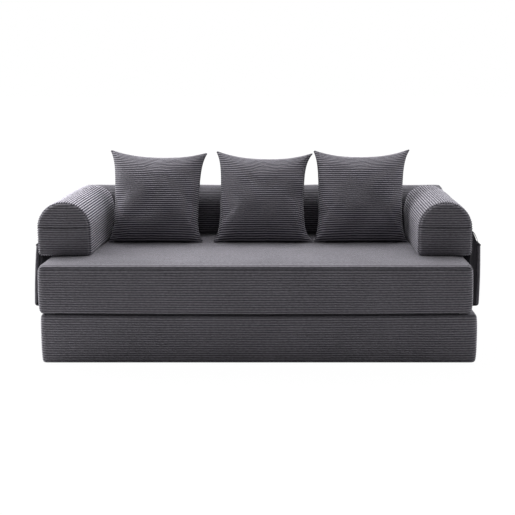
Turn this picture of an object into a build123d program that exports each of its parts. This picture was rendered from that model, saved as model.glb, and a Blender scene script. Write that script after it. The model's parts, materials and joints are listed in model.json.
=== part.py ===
from build123d import *
import math
import os

# Folding sofa bed of two foam slabs, two arm bolsters, a back bolster and three loose pillows.
# Millimetres, +X along the length, +Y to the back, +Z up. The origin is on the floor under the
# middle of the base slab. The seat slab lies on the base slab and both are joined by a cloth
# hinge along their front edges, so that the base swings out in front to make a bed.

os.makedirs("parts", exist_ok=True)

# Slabs
slab_length = 1930.0
slab_depth = 750.0
slab_thick = 222.0
slab_gap = 2.0
slab_corner = 30.0
slab_bevel = 10.0
slab_inner_bevel = 9.0
# How much a corner bevel shrinks for each millimetre that its layer lies deeper
bevel_share = 2 - math.sqrt(2)
seat_shift = -14.0
loop_pad_thick = 1.5
hinge_cloth_thick = 0.7
hinge_cloth_reach = 1.2
hinge_cloth_width = 34.0
hinge_cloth_margin = 60.0

# Covers, linings and the space between layers
cover_wall = 2.0
layer_space = 0.9
liner_wall = 0.8
foam_gap = 0.3
body_gap = 0.4
overrun = 5.0

# Bolsters
bolster_width = 239.0
arm_height = 251.0
back_height = 235.0
bolster_corner = 14.0
bolster_rim = 13.0
bolster_inner_bevel = 8.0
bolster_cap = 18.0
hook_pad_thick = 1.5
pad_width = 50.0
pad_edge_inset = 34.0
arm_setback = 141.0
left_overhang = 42.0
right_overhang = 25.0
arm_pad_count = 2
back_pad_count = 5
back_pad_length = 220.0
arm_pad_length = 90.0

# Side pockets
pocket_height = 376.0
pocket_top_height = 104.0
pocket_length = 260.0
pocket_front_inset = 36.0
pocket_cloth = 2.0
pouch_height = 320.0
pouch_mouth = 45.0
pouch_foot = 42.0
pouch_foot_rise = 20.0
heading_height = 22.0
binding_height = 4.0
binding_lap = 1.0

# Pillows. Their widths and places are shares of the room between the arms.
pillow_width_share = 0.3266
pillow_foot_share = 0.288
pillow_place_shares = {"left": -0.3469, "centre": 0.0176, "right": 0.3473}
pillow_height = 467.0
pillow_thick = 172.0
pillow_side_pull = 24.0
pillow_top_pull = 32.0
pillow_foot_pull = 5.0
pillow_flat = 4.0
pillow_lean = 24.0
pillow_foot_stand = 159.0
pillow_fill_gap = 0.4

# A pillow's face rises from its seam in bands, each flatter than the last. These are the bands'
# runs inwards, as shares of half the width, and their rises, as shares of half the thickness.
pillow_run_shares = (0.07, 0.15, 0.24, 0.3)
pillow_rise_shares = (0.27, 0.33, 0.27, 0.13)

# The filling's size as shares of the pillow's own
filling_side_share = 0.74
filling_thick_share = 0.62
filling_bevel_share = 0.21

# Zips and their sliders
slab_zip_margin = 145.0
back_zip_margin = 215.0
arm_zip_margin = 42.0
pillow_zip_margin = 40.0
back_zip_height = 42.0
arm_zip_inset = 28.0
tape_width = 22.0
tape_thick = 0.7
coil_width = 4.0
coil_proud = 1.0
coil_edge = 0.8
slit_gap = 0.5
stop_length = 3.0
stop_rise = 0.6
slider_length = 13.0
slider_width = 8.5
slider_height = 2.6
slider_gap = 0.3
slider_edge = 1.0
bridge_length = 7.0
bridge_width = 2.0
bridge_height = 3.2
bridge_leg = 1.2
bridge_roof = 1.0
puller_length = 24.0
puller_width = 7.0
puller_thick = 1.0
puller_bar = 1.4
puller_side = 1.4
puller_corner = 2.0

# Places worked out from the sizes above
seat_floor = slab_thick + slab_gap
seat_top = seat_floor + slab_thick
bolster_floor = seat_top + loop_pad_thick + body_gap + hook_pad_thick
seat_left = seat_shift - slab_length / 2
seat_right = seat_shift + slab_length / 2
slab_front = -slab_depth / 2
slab_rear = slab_depth / 2
back_front = slab_rear - bolster_width
arm_front = slab_front + arm_setback
arm_length = back_front - body_gap - arm_front
arm_middle = {
    "left": seat_left - left_overhang + bolster_width / 2,
    "right": seat_right + right_overhang - bolster_width / 2,
}
side_sign = {"left": -1, "right": 1}
pillow_room = slab_length + left_overhang + right_overhang - 2 * bolster_width
pillow_room_middle = (arm_middle["left"] + arm_middle["right"]) / 2
pillow_width = pillow_width_share * pillow_room
pillow_foot_width = pillow_foot_share * pillow_room
slab_zip_length = slab_length - 2 * slab_zip_margin
back_zip_length = slab_length - 2 * back_zip_margin
arm_zip_length = arm_length - 2 * arm_zip_margin
pillow_zip_length = pillow_foot_width - 2 * pillow_zip_margin
block_size = 2 * (slab_length + bolster_width)


def slab_layer(inset):
    """The slab's form, made smaller by inset on every side. Its inner layers have bevelled corners."""
    form = Box(slab_length - 2 * inset, slab_depth - 2 * inset, slab_thick - 2 * inset)
    posts = form.edges().filter_by(Axis.Z)
    form = chamfer(posts, slab_corner - bevel_share * inset) if inset else fillet(posts, slab_corner)
    flats = form.faces().sort_by(Axis.Z)
    edges = flats[0].edges() + flats[-1].edges()
    return chamfer(edges, slab_inner_bevel if inset else slab_bevel)


def bolster_face(width, height, corner):
    """A D outline standing on its flat side, with a half-round top."""
    half = width / 2
    spring = height - half
    sides = Polyline((half, spring), (half, 0), (-half, 0), (-half, spring))
    top = ThreePointArc((-half, spring), (0, height), (half, spring))
    face = make_face(sides + top)
    return fillet(face.vertices().group_by(Axis.Y)[0], corner)


def bolster_layer(length, height, inset):
    """A bolster's form along +Y, standing at Z = 0, made smaller by inset on every side."""
    face = bolster_face(bolster_width - 2 * inset, height - 2 * inset, bolster_corner - inset)
    bar = extrude(Plane.XZ * face, amount=-(length - 2 * inset))
    ends = bar.faces().sort_by(Axis.Y)
    rims = ends[0].edges() + ends[-1].edges()
    bar = chamfer(rims, bolster_inner_bevel if inset else bolster_rim)
    return Pos(0, inset, inset) * bar


def slice_y(form, low, high):
    """The part of a bolster's form between two places along its length."""
    reach = 2 * bolster_width + arm_height
    block = Box(reach, high - low, reach, align=(Align.CENTER, Align.MIN, Align.CENTER))
    return form & (Pos(0, low, 0) * block)


def above(form, height):
    """The part of a form over a level."""
    block = Box(block_size, block_size, block_size, align=(Align.CENTER, Align.CENTER, Align.MIN))
    return form & (Pos(0, 0, height) * block)


def below(form, height):
    """The part of a form under a level."""
    block = Box(block_size, block_size, block_size, align=(Align.CENTER, Align.CENTER, Align.MAX))
    return form & (Pos(0, 0, height) * block)


def zip_slit(length):
    """The cutter for a zip's slit, along X through a cover whose outer face is at Z = 0."""
    return Box(length, coil_width + 2 * slit_gap, 2 * cover_wall + overrun)


def zip_strip(length, depth):
    """A zip's tape and coil along X. The coil stands proud of Z = 0 and the tape lies depth below."""
    tape = Pos(0, 0, -depth) * Box(
        length + tape_width, tape_width, tape_thick, align=(Align.CENTER, Align.CENTER, Align.MAX)
    )
    coil = Pos(0, 0, -depth) * Box(
        length - 2 * slit_gap,
        coil_width,
        depth + coil_proud,
        align=(Align.CENTER, Align.CENTER, Align.MIN),
    )
    coil = chamfer(coil.faces().sort_by(Axis.Z)[-1].edges().filter_by(Axis.X), coil_edge)
    stop_height = depth + coil_proud + stop_rise
    stop = Box(stop_length, coil_width, stop_height, align=(Align.CENTER, Align.CENTER, Align.MIN))
    reach = length / 2 - slit_gap - stop_length / 2
    stops = [Pos(end * reach, 0, -depth) * stop for end in (-1, 1)]
    return tape + coil + stops[0] + stops[1]


def zip_slider():
    """A slider astride the coil at X = 0, with its bridge and its pull tab, over the face at Z = 0."""
    low = slider_gap
    top = low + slider_height
    body = Pos(0, 0, low) * Box(
        slider_length, slider_width, slider_height, align=(Align.CENTER, Align.CENTER, Align.MIN)
    )
    body = chamfer(body.edges().filter_by(Axis.Z), slider_edge)
    channel = Box(
        slider_length + overrun,
        coil_width + 2 * slider_gap,
        2 * (coil_proud + slider_gap),
    )
    bridge = Pos(0, 0, top) * Box(
        bridge_length, bridge_width, bridge_height, align=(Align.CENTER, Align.CENTER, Align.MIN)
    )
    window = Pos(0, 0, top) * Box(
        bridge_length - 2 * bridge_leg,
        bridge_width + overrun,
        bridge_height - bridge_roof,
        align=(Align.CENTER, Align.CENTER, Align.MIN),
    )
    return [body - channel + (bridge - window), pull_tab(top)]


def pull_tab(level):
    """The pull tab, lying along +X with its bar through the slider's bridge."""
    tab = Box(puller_length, puller_width, puller_thick, align=(Align.MIN, Align.CENTER, Align.MIN))
    tab = chamfer(tab.edges().filter_by(Axis.Z), puller_corner)
    slot_length = bridge_length / 2 + slider_gap
    slot = Pos(puller_bar, 0, 0) * Box(
        slot_length,
        puller_width - 2 * puller_side,
        puller_thick * 3,
        align=(Align.MIN, Align.CENTER, Align.CENTER),
    )
    return Pos(-puller_bar / 2, 0, level + slider_gap) * (tab - slot)


def zip_travel_start(length):
    """How far from a zip's middle its slider is parked when the zip is closed."""
    return length / 2 - stop_length - slider_length


def write(name, solids):
    """Writes one node from a solid or a list of solids."""
    pieces = solids if isinstance(solids, list) else [solids]
    loose = [one for piece in pieces for one in piece.solids()]
    shape = loose[0] if len(loose) == 1 else Compound(children=loose)
    export_step(shape, f"parts/{name}.step")


def slab_pieces(name, place):
    """Writes a slab's cover, lining, foam and zip with its slider."""
    outer, inner = slab_layer(0), slab_layer(cover_wall)
    liner_out = slab_layer(cover_wall + layer_space)
    liner_in = slab_layer(cover_wall + layer_space + liner_wall)
    foam = slab_layer(cover_wall + layer_space + liner_wall + foam_gap)
    rear = Plane(origin=(0, slab_rear, 0), x_dir=(-1, 0, 0), z_dir=(0, 1, 0))
    slit = rear * zip_slit(slab_zip_length)
    write(f"{name}_cover", place * (outer - inner - slit))
    write(f"{name}_liner", place * (liner_out - liner_in))
    write(f"{name}_foam", place * foam)
    write(f"{name}_zip", place * (rear * zip_strip(slab_zip_length, cover_wall)))
    start = Pos(-zip_travel_start(slab_zip_length), 0, 0)
    write(f"{name}_zip_slider", [place * (rear * (start * one)) for one in zip_slider()])


def hinge_cloth(level, thick_sign, shift):
    """One leaf of the cloth hinge, from its slab's flat face to the line it turns about."""
    length = slab_length - 2 * hinge_cloth_margin - abs(seat_shift)
    side = Align.MIN if thick_sign > 0 else Align.MAX
    leaf = Box(length, hinge_cloth_width, hinge_cloth_thick, align=(Align.CENTER, Align.MIN, side))
    return Pos(shift, slab_front - hinge_cloth_reach, level) * leaf


def pad_row(count, length, spacing, along_x):
    """A row of fastening pads under a bolster, centred on its middle."""
    size = (length, pad_width) if along_x else (pad_width, length)
    step = (spacing, 0) if along_x else (0, spacing)
    first = -(count - 1) / 2
    return [
        Pos(step[0] * (first + k), step[1] * (first + k), 0)
        * Box(size[0], size[1], 1, align=(Align.CENTER, Align.CENTER, Align.MIN))
        for k in range(count)
    ]


def pads_at(row, place, level, thick):
    """The same row of pads at a level, as thick as the cloth."""
    return [Pos(place[0], place[1], level) * scale(pad, by=(1, 1, thick)) for pad in row]


def bolster_pieces(name, length, height, place, zip_plane, zip_length):
    """Writes a bolster's wrap, its foam in two blocks, its zip and the slider. Returns its end panels."""
    hollow = bolster_layer(length, height, 0) - bolster_layer(length, height, cover_wall)
    seam = height - bolster_width / 2
    front = slice_y(hollow, 0, bolster_cap)
    rear = slice_y(hollow, length - bolster_cap, length)
    wrap = slice_y(hollow, bolster_cap, length - bolster_cap) - zip_plane * zip_slit(zip_length)
    write(f"{name}_cover", place * wrap)
    foam = bolster_layer(length, height, cover_wall + layer_space)
    write(f"{name}_foam_round", place * above(foam, seam))
    write(f"{name}_foam_block", place * below(foam, seam - foam_gap))
    write(f"{name}_zip", place * (zip_plane * zip_strip(zip_length, cover_wall)))
    start = Pos(-zip_travel_start(zip_length), 0, 0)
    write(f"{name}_zip_slider", [place * (zip_plane * (start * one)) for one in zip_slider()])
    return front, rear


def back_bolster():
    """Writes the back bolster, whose length runs along X."""
    place = Pos(seat_left, slab_rear - bolster_width / 2, bolster_floor) * Rot(0, 0, -90)
    zip_plane = Plane(
        origin=(-bolster_width / 2, slab_length / 2, back_zip_height), x_dir=(0, -1, 0), z_dir=(-1, 0, 0)
    )
    ends = bolster_pieces("back_bolster", slab_length, back_height, place, zip_plane, back_zip_length)
    write("back_bolster_end_panels", [place * end for end in ends])


def arm_bolster(side):
    """Writes one arm bolster, whose length runs along Y, with its zip under the overhang."""
    sign = side_sign[side]
    place = Pos(arm_middle[side], arm_front, bolster_floor)
    zip_plane = Plane(
        origin=(sign * (bolster_width / 2 - arm_zip_inset), arm_length / 2, 0),
        x_dir=(0, -1, 0),
        z_dir=(0, 0, -1),
    )
    front, rear = bolster_pieces(
        f"{side}_arm", arm_length, arm_height, place, zip_plane, arm_zip_length
    )
    seam = arm_height - bolster_width / 2
    write(f"{side}_arm_front_panel_upper", place * above(front, seam))
    write(f"{side}_arm_front_panel_lower", place * below(front, seam))
    write(f"{side}_arm_rear_panel", place * rear)


def fastening_pads():
    """Writes the loop pads on the seat and the hook pads under the three bolsters."""
    back_spacing = (slab_length - 2 * pad_edge_inset - back_pad_length) / (back_pad_count - 1)
    arm_spacing = arm_length - 2 * pad_edge_inset - arm_pad_length
    back_row = pad_row(back_pad_count, back_pad_length, back_spacing, True)
    arm_row = pad_row(arm_pad_count, arm_pad_length, arm_spacing, False)
    hook_level = bolster_floor - hook_pad_thick
    rows = [("back_bolster", back_row, (seat_shift, slab_rear - bolster_width / 2))]
    for side in side_sign:
        inner = side_sign[side] * (bolster_width / 2 - pad_edge_inset - pad_width / 2)
        rows.append((f"{side}_arm", arm_row, (arm_middle[side] - inner, arm_front + arm_length / 2)))
    loops = []
    for name, row, place in rows:
        write(f"{name}_hook_pads", pads_at(row, place, hook_level, hook_pad_thick))
        loops += pads_at(row, place, seat_top, loop_pad_thick)
    write("seat_loop_pads", loops)


def pouch_profile(inset, top):
    """The pouch's side outline, wide at the mouth and narrower at the foot."""
    return make_face(
        Polyline(
            (0, inset),
            (pouch_foot - inset, inset + pouch_foot_rise),
            (pouch_mouth - inset, top),
            (0, top),
            close=True,
        )
    )


def side_pocket(side):
    """Writes one pocket and the heading that it hangs from on the arm's outer side."""
    sign = side_sign[side]
    outer_face = arm_middle[side] + sign * bolster_width / 2
    top = bolster_floor + pocket_top_height
    middle = arm_front + pocket_front_inset + pocket_length / 2
    turn = Pos(outer_face, middle, 0) * (Rot(0, 0, 180) if sign < 0 else Rot(0, 0, 0))
    out = (Align.MIN, Align.CENTER, Align.MIN)
    heading = Pos(0, 0, top) * Box(pocket_cloth, pocket_length, heading_height, align=out)
    foot = top - body_gap - pocket_height
    back = Pos(body_gap, 0, foot) * Box(pocket_cloth, pocket_length, pocket_height, align=out)
    hang = Pos(body_gap + pocket_cloth, 0, foot)
    along = Plane(origin=(0, pocket_length / 2, 0), x_dir=(1, 0, 0), z_dir=(0, -1, 0))
    solid = extrude(along * pouch_profile(0, pouch_height), amount=pocket_length)
    room_plane = Plane(origin=(0, pocket_length / 2 - pocket_cloth, 0), x_dir=(1, 0, 0), z_dir=(0, -1, 0))
    room = extrude(
        room_plane * pouch_profile(pocket_cloth, pouch_height + overrun),
        amount=pocket_length - 2 * pocket_cloth,
    )
    band = Box(
        pouch_mouth + binding_lap, pocket_length + 2 * binding_lap, binding_height, align=out
    ) - Box(
        pouch_mouth - pocket_cloth - binding_lap,
        pocket_length - 2 * pocket_cloth - 2 * binding_lap,
        binding_height,
        align=out,
    )
    write(f"{side}_pocket_heading", turn * heading)
    write(f"{side}_pocket_back", turn * back)
    write(f"{side}_pocket_pouch", turn * (hang * (solid - room)))
    write(f"{side}_pocket_binding", turn * (hang * (Pos(0, 0, pouch_height) * band)))


def pillow_seam():
    """The pillow's outline at its seam: four arcs drawn in between the corners."""
    half, foot_half = pillow_width / 2, pillow_foot_width / 2
    waist = (half + foot_half) / 2 - pillow_side_pull
    head = pillow_height - pillow_top_pull
    corners = [(-foot_half, 0), (foot_half, 0), (half, pillow_height), (-half, pillow_height)]
    middles = [(0, pillow_foot_pull), (waist, pillow_height / 2), (0, head), (-waist, pillow_height / 2)]
    return make_face([ThreePointArc(corners[k], middles[k], corners[(k + 1) % 4]) for k in range(4)])


def pillow_face():
    """One face of the pillow, swelling over its seam in bands up to the crown."""
    band, form = pillow_seam(), None
    for run_share, rise_share in zip(pillow_run_shares, pillow_rise_shares):
        run, rise = run_share * pillow_width / 2, rise_share * pillow_thick / 2
        step = extrude(band, amount=rise, taper=math.degrees(math.atan2(run, rise)))
        form = step if form is None else form + step
        band = step.faces().sort_by(Axis.Z)[-1]
    return form


def filling_pad(gap):
    """The pad of filling, thicker in its middle, made larger by gap all round."""
    side = filling_side_share * pillow_foot_width + 2 * gap
    thick = filling_thick_share * pillow_thick + 2 * gap
    pad = Pos(0, 0, pillow_height / 2) * Box(side, thick, side)
    broad = pad.faces().sort_by(Axis.Y)
    return chamfer(broad[0].edges() + broad[-1].edges(), filling_bevel_share * pillow_thick)


def pillows():
    """Writes the three pillows, each leaning on the back bolster with its zip along its foot."""
    foot_cut = Box(
        2 * pillow_width, 2 * pillow_thick, pillow_height, align=(Align.CENTER, Align.CENTER, Align.MAX)
    )
    front = Plane.XZ * pillow_face()
    form = front + mirror(front, about=Plane.XZ) - Pos(0, 0, pillow_flat) * foot_cut
    cover = form - filling_pad(pillow_fill_gap)
    filling = filling_pad(0)
    foot = Plane(origin=(0, 0, pillow_flat - tape_thick), x_dir=(-1, 0, 0), z_dir=(0, 0, -1))
    stack = tape_thick + slider_gap + slider_height + bridge_height - pillow_flat
    lean = math.radians(pillow_lean)
    lift = body_gap + stack * math.cos(lean) + bridge_width / 2 * math.sin(lean)
    start = Pos(-zip_travel_start(pillow_zip_length), 0, 0)
    for side, share in pillow_place_shares.items():
        across = pillow_room_middle + share * pillow_room
        place = Pos(across, back_front - pillow_foot_stand, seat_top + lift) * Rot(-pillow_lean, 0, 0)
        write(f"{side}_pillow_cover", place * cover)
        write(f"{side}_pillow_filling", place * filling)
        write(f"{side}_pillow_zip", place * (foot * zip_strip(pillow_zip_length, 0)))
        write(f"{side}_pillow_zip_slider", [place * (foot * (start * one)) for one in zip_slider()])


def slabs():
    """Writes the seat slab, the base slab under it and the cloth hinge between them."""
    slab_pieces("base", Pos(0, 0, slab_thick / 2))
    slab_pieces("seat", Pos(seat_shift, 0, seat_floor + slab_thick / 2))
    write("hinge_leaf_lower", hinge_cloth(slab_thick, 1, seat_shift / 2))
    write("hinge_leaf_upper", hinge_cloth(seat_floor, -1, seat_shift / 2))


slabs()
back_bolster()
for arm_side in side_sign:
    arm_bolster(arm_side)
    side_pocket(arm_side)
fastening_pads()
pillows()
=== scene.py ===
import json
import math

import bpy
import numpy as np
from mathutils import Matrix, Vector

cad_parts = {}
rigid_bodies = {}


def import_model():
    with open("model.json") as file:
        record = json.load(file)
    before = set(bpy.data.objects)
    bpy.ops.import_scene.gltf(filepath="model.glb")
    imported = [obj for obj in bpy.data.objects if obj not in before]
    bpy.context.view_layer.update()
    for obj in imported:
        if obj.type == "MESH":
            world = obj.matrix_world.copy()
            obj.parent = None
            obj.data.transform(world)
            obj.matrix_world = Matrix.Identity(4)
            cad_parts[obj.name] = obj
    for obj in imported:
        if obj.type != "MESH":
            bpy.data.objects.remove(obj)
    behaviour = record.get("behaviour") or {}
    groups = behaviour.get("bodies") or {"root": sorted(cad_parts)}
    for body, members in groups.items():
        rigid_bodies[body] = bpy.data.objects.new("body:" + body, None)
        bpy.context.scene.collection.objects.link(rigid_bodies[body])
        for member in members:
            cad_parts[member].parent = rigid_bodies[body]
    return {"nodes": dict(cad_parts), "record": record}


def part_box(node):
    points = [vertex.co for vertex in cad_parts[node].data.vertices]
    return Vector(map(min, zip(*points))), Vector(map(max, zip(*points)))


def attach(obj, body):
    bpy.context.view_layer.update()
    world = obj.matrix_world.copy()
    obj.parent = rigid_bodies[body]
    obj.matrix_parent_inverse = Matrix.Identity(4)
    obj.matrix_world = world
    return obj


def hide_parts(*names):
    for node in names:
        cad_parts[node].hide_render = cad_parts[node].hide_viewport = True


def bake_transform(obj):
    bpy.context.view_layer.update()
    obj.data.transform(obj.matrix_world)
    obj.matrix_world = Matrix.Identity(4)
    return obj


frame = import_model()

bl_info = {
    "name": "Folding sofa bed",
    "version": (1, 0, 0),
    "blender": (4, 5, 0),
    "location": "View3D > Sidebar > Sofa bed",
    "description": "Dresses a folding sofa bed of slabs, bolsters and pillows in wide corduroy",
    "category": "Add Mesh",
}

SIDES = {"left": -1, "right": 1}
PILLOWS = ("left", "centre", "right")
QUARTER = math.pi / 2
# Rows of the grid that draw one wale
WALE_STEPS = 6
# Angles at which the rolled edges of slabs and bolsters meet their seams
SLAB_SEAM = math.radians(35)
BOLSTER_SEAM = math.radians(45)
# How deep a slab's band is drawn in by the seam at its foot and at its top, and how far from it
BAND_PINCHES = (0.0016, 0.0006)
BAND_PINCH_REACH = 0.005
# Share of its shoulder that the seat's edge lies under the foam's top, and the shoulder's run
SHOULDER_SHARE = 0.8
SHOULDER_REACH = 0.028
# Length and height over which the base's ends droop, and the gap under every slab
DROOP_LENGTH = 0.025
DROOP_HEIGHT = 0.06
FLOOR_GAP = 0.0004
# How far the hems of slabs and bolsters are turned in behind their faces
SLAB_HEM = 0.008
BOLSTER_HEM = 0.006
# Changes to the wales, which stand up where cloth is stretched and lie lower on flat panels. The
# top-light
# value is painted light: the cloth's colour is made lighter where it faces up, and darker where the
# value is negative, as on the back bolster. Shading sets how deep the painted shade in the grooves
# is.
BACK_WALES = {"Depth": 0.0032, "Crest": 0.0023, "Roundness": 1.1, "Nap": -0.3}
PILLOW_WALES = {"Depth": 0.0032, "Crest": 0.0009, "Roundness": 1.1, "Nap": 0.47}
LOW_WALES = {"Depth": 0.0017, "Shading": 0.75}
# The arms differ as painted light and shade: the left arm is painted lighter on top and its grooves
# deeper in shade than the right one's, standing for the stronger light on the left.
ARM_WALES = {
    "left": {"Depth": 0.004, "Crest": 0.003, "Roundness": 1.2, "Nap": 1.5},
    "right": {"Depth": 0.004, "Crest": 0.003, "Roundness": 1.2, "Nap": 0.42, "Shading": 0.75},
}
# A zip's slit in the cover with the width of its lips and the run of its ends, then the length of
# the tapes past the slit's ends and how deep they lie
SLIT_DEPTH = 0.0022
SLIT_HALF = 0.0075
SLIT_LIP = 0.0025
SLIT_FADE = 0.004
TAPE_END = 0.011
ZIP_DEPTH = 0.002
# Heights over every panel: for a panel that runs to the top, and for one without a seam
TOP = 1
NO_SEAM = 9
# How much wider each arm is stuffed, as a share of the setting, and how far it moves to the left
ARM_FULLER = {"left": 0.9, "right": 1.8}
ARM_SHIFT = {"left": 0.001, "right": 0.003}
# Depth of each pocket at its mouth and its foot, where the pouch starts on the back sheet, and how
# far its folded ends stand in from the panel's
POUCH_DEPTHS = {"left": (0.025, 0.044), "right": (0.049, 0.05)}
POUCH_ROOT = 0.0054
POUCH_END = 0.003
# Outer and inner depth of the heading and of the back sheet, and depth of the heading's stitches
HEADING_FACES = (0.0062, -0.001)
BACK_FACES = (0.0056, 0.0036)
HEADING_STITCHES = 0.0066
# Share of a stitch and its gap that the thread shows
STITCH_SHARE = 0.68
# How far a pouch is gathered in at its mouth and its foot
MOUTH_LIFT = 0.01
FOOT_LIFT = 0.014
# How a pillow leans back and stands before the back bolster and over the seat
LEAN = math.radians(24)
PILLOW_STAND = 0.159
PILLOW_LIFT = 0.0034
# Side of a pillow's cloth, and the furthest that the simulation may move it
PILLOW_SIDE = 0.5
PILLOW_TRAVEL = 0.016
# Corners of each seam in the pillow's own plane, from the foot's left round to the top's left
PILLOW_CORNERS = {
    "left": ((-0.226, 0.0), (0.259, -0.002), (0.258, 0.469), (-0.26, 0.485)),
    "centre": ((-0.257, -0.002), (0.255, -0.002), (0.257, 0.467), (-0.26, 0.479)),
    "right": ((-0.258, -0.002), (0.226, 0.0), (0.263, 0.489), (-0.252, 0.483)),
}
# How far the left, right, top and foot edges are drawn in between those corners
PILLOW_PULLS = {
    "left": (0.034, 0.038, 0.038, 0.007),
    "centre": (0.036, 0.054, 0.042, 0.007),
    "right": (0.031, 0.04, 0.044, 0.007),
}
# Each light's place, the height that it faces over the middle of the floor, and its size
LIGHTS = {
    "left": ((-2.8, 0.5, 1.9), 0.5, (2.0, 2.0)),
    "right": ((2.8, 0.5, 1.9), 0.5, (2.0, 2.0)),
    "rear": ((0.0, 1.2, 3.0), 0.4, (4.2, 1.8)),
    "overhead": ((0.0, -0.15, 3.1), 0.4, (4.2, 3.0)),
}
# The camera, fitted to the photo; its dip is in radians
CAMERA_PLACE = (0.1635, -2.9063, 1.2822)
CAMERA_DIP = 0.0976
CAMERA_LENS = 41.385
CAMERA_SENSOR = 36
CAMERA_SHIFT = (-0.0737, -0.2427)
# Filled by main: the materials, the two Geometry Nodes trees and the nodes' material slots
KIT = {}


# Sizes and colours that a user may change


def size_setting(name, description, default, low, high):
    """A length that a user may change."""
    return bpy.props.FloatProperty(
        name=name, description=description, default=default, min=low, max=high,
        unit="LENGTH", subtype="DISTANCE")


def colour_setting(name, description, default):
    """A colour that a user may change."""
    return bpy.props.FloatVectorProperty(
        name=name, description=description, default=default, min=0.0, max=1.0, size=3,
        subtype="COLOR")


def power_setting(name, description, default):
    """The power of a light that a user may change."""
    return bpy.props.FloatProperty(
        name=name, description=description, default=default, min=0.0, unit="POWER")


class SofaClothSizes(bpy.types.PropertyGroup):
    pitch: size_setting("Wale pitch", "Distance from one wale to the next", 0.0113, 0.003, 0.03)
    depth: size_setting(
        "Wale depth", "How deep the grooves lie under the crests", 0.0024, 0.0, 0.006)
    crest: size_setting(
        "Crest height", "How far the crests stand over the smooth form", 0.0007, 0.0, 0.003)
    roundness: bpy.props.FloatProperty(
        name="Wale roundness", description="Lower values give fuller wales with narrower grooves",
        default=0.6, min=0.2, max=2.0)
    wander: size_setting(
        "Wale wander", "How far a wale strays from a straight line", 0.0011, 0.0, 0.01)
    colour: colour_setting(
        "Cloth colour", "Colour of the pile on the crests", (0.201, 0.191, 0.215))
    # Painted shade: the colour between the wales is partly the ground cloth's own and partly shade
    # in the grooves.
    groove_and_shade: colour_setting(
        "Groove colour and shade", "Colour of the ground cloth between the wales", (0.018, 0.0168, 0.0235))


class SofaSlabSizes(bpy.types.PropertyGroup):
    edge: size_setting(
        "Seat foot radius", "Radius that the cloth turns over the seat's foot", 0.014, 0.004, 0.05)
    base_edge: size_setting(
        "Base edge radius", "Radius that the cloth turns over the base's top edges",
        0.0065, 0.004, 0.05)
    seat_edge: size_setting(
        "Seat edge radius", "Radius that the cloth turns over the seat's top edges",
        0.018, 0.004, 0.05)
    shoulder: size_setting(
        "Seat shoulder", "How far the seat's top falls away towards its edges", 0.011, 0.0, 0.02)
    droop: size_setting(
        "Base droop", "How far the base's top falls away at each end", 0.012, 0.0, 0.02)
    foot_edge: size_setting(
        "Foot edge radius", "Radius of the edges that press on the floor", 0.006, 0.004, 0.05)
    spread: size_setting(
        "Base spread", "How far the loaded base spreads at each end", 0.0095, 0.0, 0.02)
    corner: size_setting(
        "Slab corner radius", "Radius of the slab's upright corners", 0.03, 0.01, 0.1)
    crown: size_setting("Seat crown", "How far the open part of the seat swells", 0.006, 0.0, 0.02)
    swell: size_setting(
        "Face swell", "How far the upright faces swell between their seams", 0.003, 0.0, 0.012)
    sag: size_setting(
        "Slab sag", "How far the joint between the slabs sags in its middle", 0.006, 0.0, 0.02)


class SofaBolsterSizes(bpy.types.PropertyGroup):
    edge: size_setting(
        "Bolster edge radius", "Radius that the cloth turns over the bolster's ends",
        0.013, 0.004, 0.04)
    fuller: size_setting(
        "Arm fullness", "How much wider the stuffed arms are than their foam", 0.005, 0.0, 0.02)
    dome: size_setting("End dome", "How far the end panels swell", 0.006, 0.0, 0.02)
    forward: size_setting(
        "Arm bulge", "How far the arms' front panels stand out in front of their foam",
        0.011, 0.0, 0.02)
    rise: size_setting(
        "Arm rise", "How much higher the arms stand at the back than at the front",
        0.007, 0.0, 0.03)
    reach: size_setting(
        "Arm reach", "How far the arms' tops lean over the back bolster's shoulder",
        0.035, 0.0, 0.06)
    pinch: size_setting(
        "Panel seam depth", "Depth of the seam across the arms' front panels", 0.007, 0.0, 0.01)


class SofaPillowSizes(bpy.types.PropertyGroup):
    cells: bpy.props.IntProperty(
        name="Cloth cells", description="Cells along one side of the simulated panel", default=60,
        min=16, max=120)
    frames: bpy.props.IntProperty(
        name="Frames", description="Frames that the filling swells for", default=20, min=5, max=60)
    pressure: bpy.props.FloatProperty(
        name="Filling pressure", description="Pressure of the filling on the cover", default=4.0,
        min=0.0, max=20.0)
    thick: size_setting(
        "Pillow thickness", "Thickness of a pillow in its middle", 0.172, 0.05, 0.3)


class SofaSewingSizes(bpy.types.PropertyGroup):
    coil: size_setting(
        "Coil pitch", "Distance from one turn of a zip's coil to the next", 0.0013, 0.0005, 0.01)
    stitch: size_setting("Stitch pitch", "Length of one stitch and its gap", 0.0045, 0.002, 0.02)
    thread: size_setting("Thread", "Thickness of the sewing thread", 0.0007, 0.0002, 0.003)


class SofaStageSizes(bpy.types.PropertyGroup):
    left: power_setting("Left light", "Power of the soft light over the left arm", 114.0)
    right: power_setting("Right light", "Power of the soft light over the right arm", 42.0)
    rear: power_setting("Rear light", "Power of the soft light over the back", 108.0)
    overhead: power_setting("Overhead light", "Power of the soft light overhead", 22.0)
    sky: bpy.props.FloatProperty(
        name="Room light", description="Strength of the light from all round", default=0.11,
        min=0.0)


class SofaSettings(bpy.types.PropertyGroup):
    cloth: bpy.props.PointerProperty(type=SofaClothSizes)
    slab: bpy.props.PointerProperty(type=SofaSlabSizes)
    bolster: bpy.props.PointerProperty(type=SofaBolsterSizes)
    pillow: bpy.props.PointerProperty(type=SofaPillowSizes)
    sewing: bpy.props.PointerProperty(type=SofaSewingSizes)
    stage: bpy.props.PointerProperty(type=SofaStageSizes)


def sizes():
    """The settings of the sofa bed."""
    return bpy.context.scene.sofa_bed


# Node trees


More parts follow.
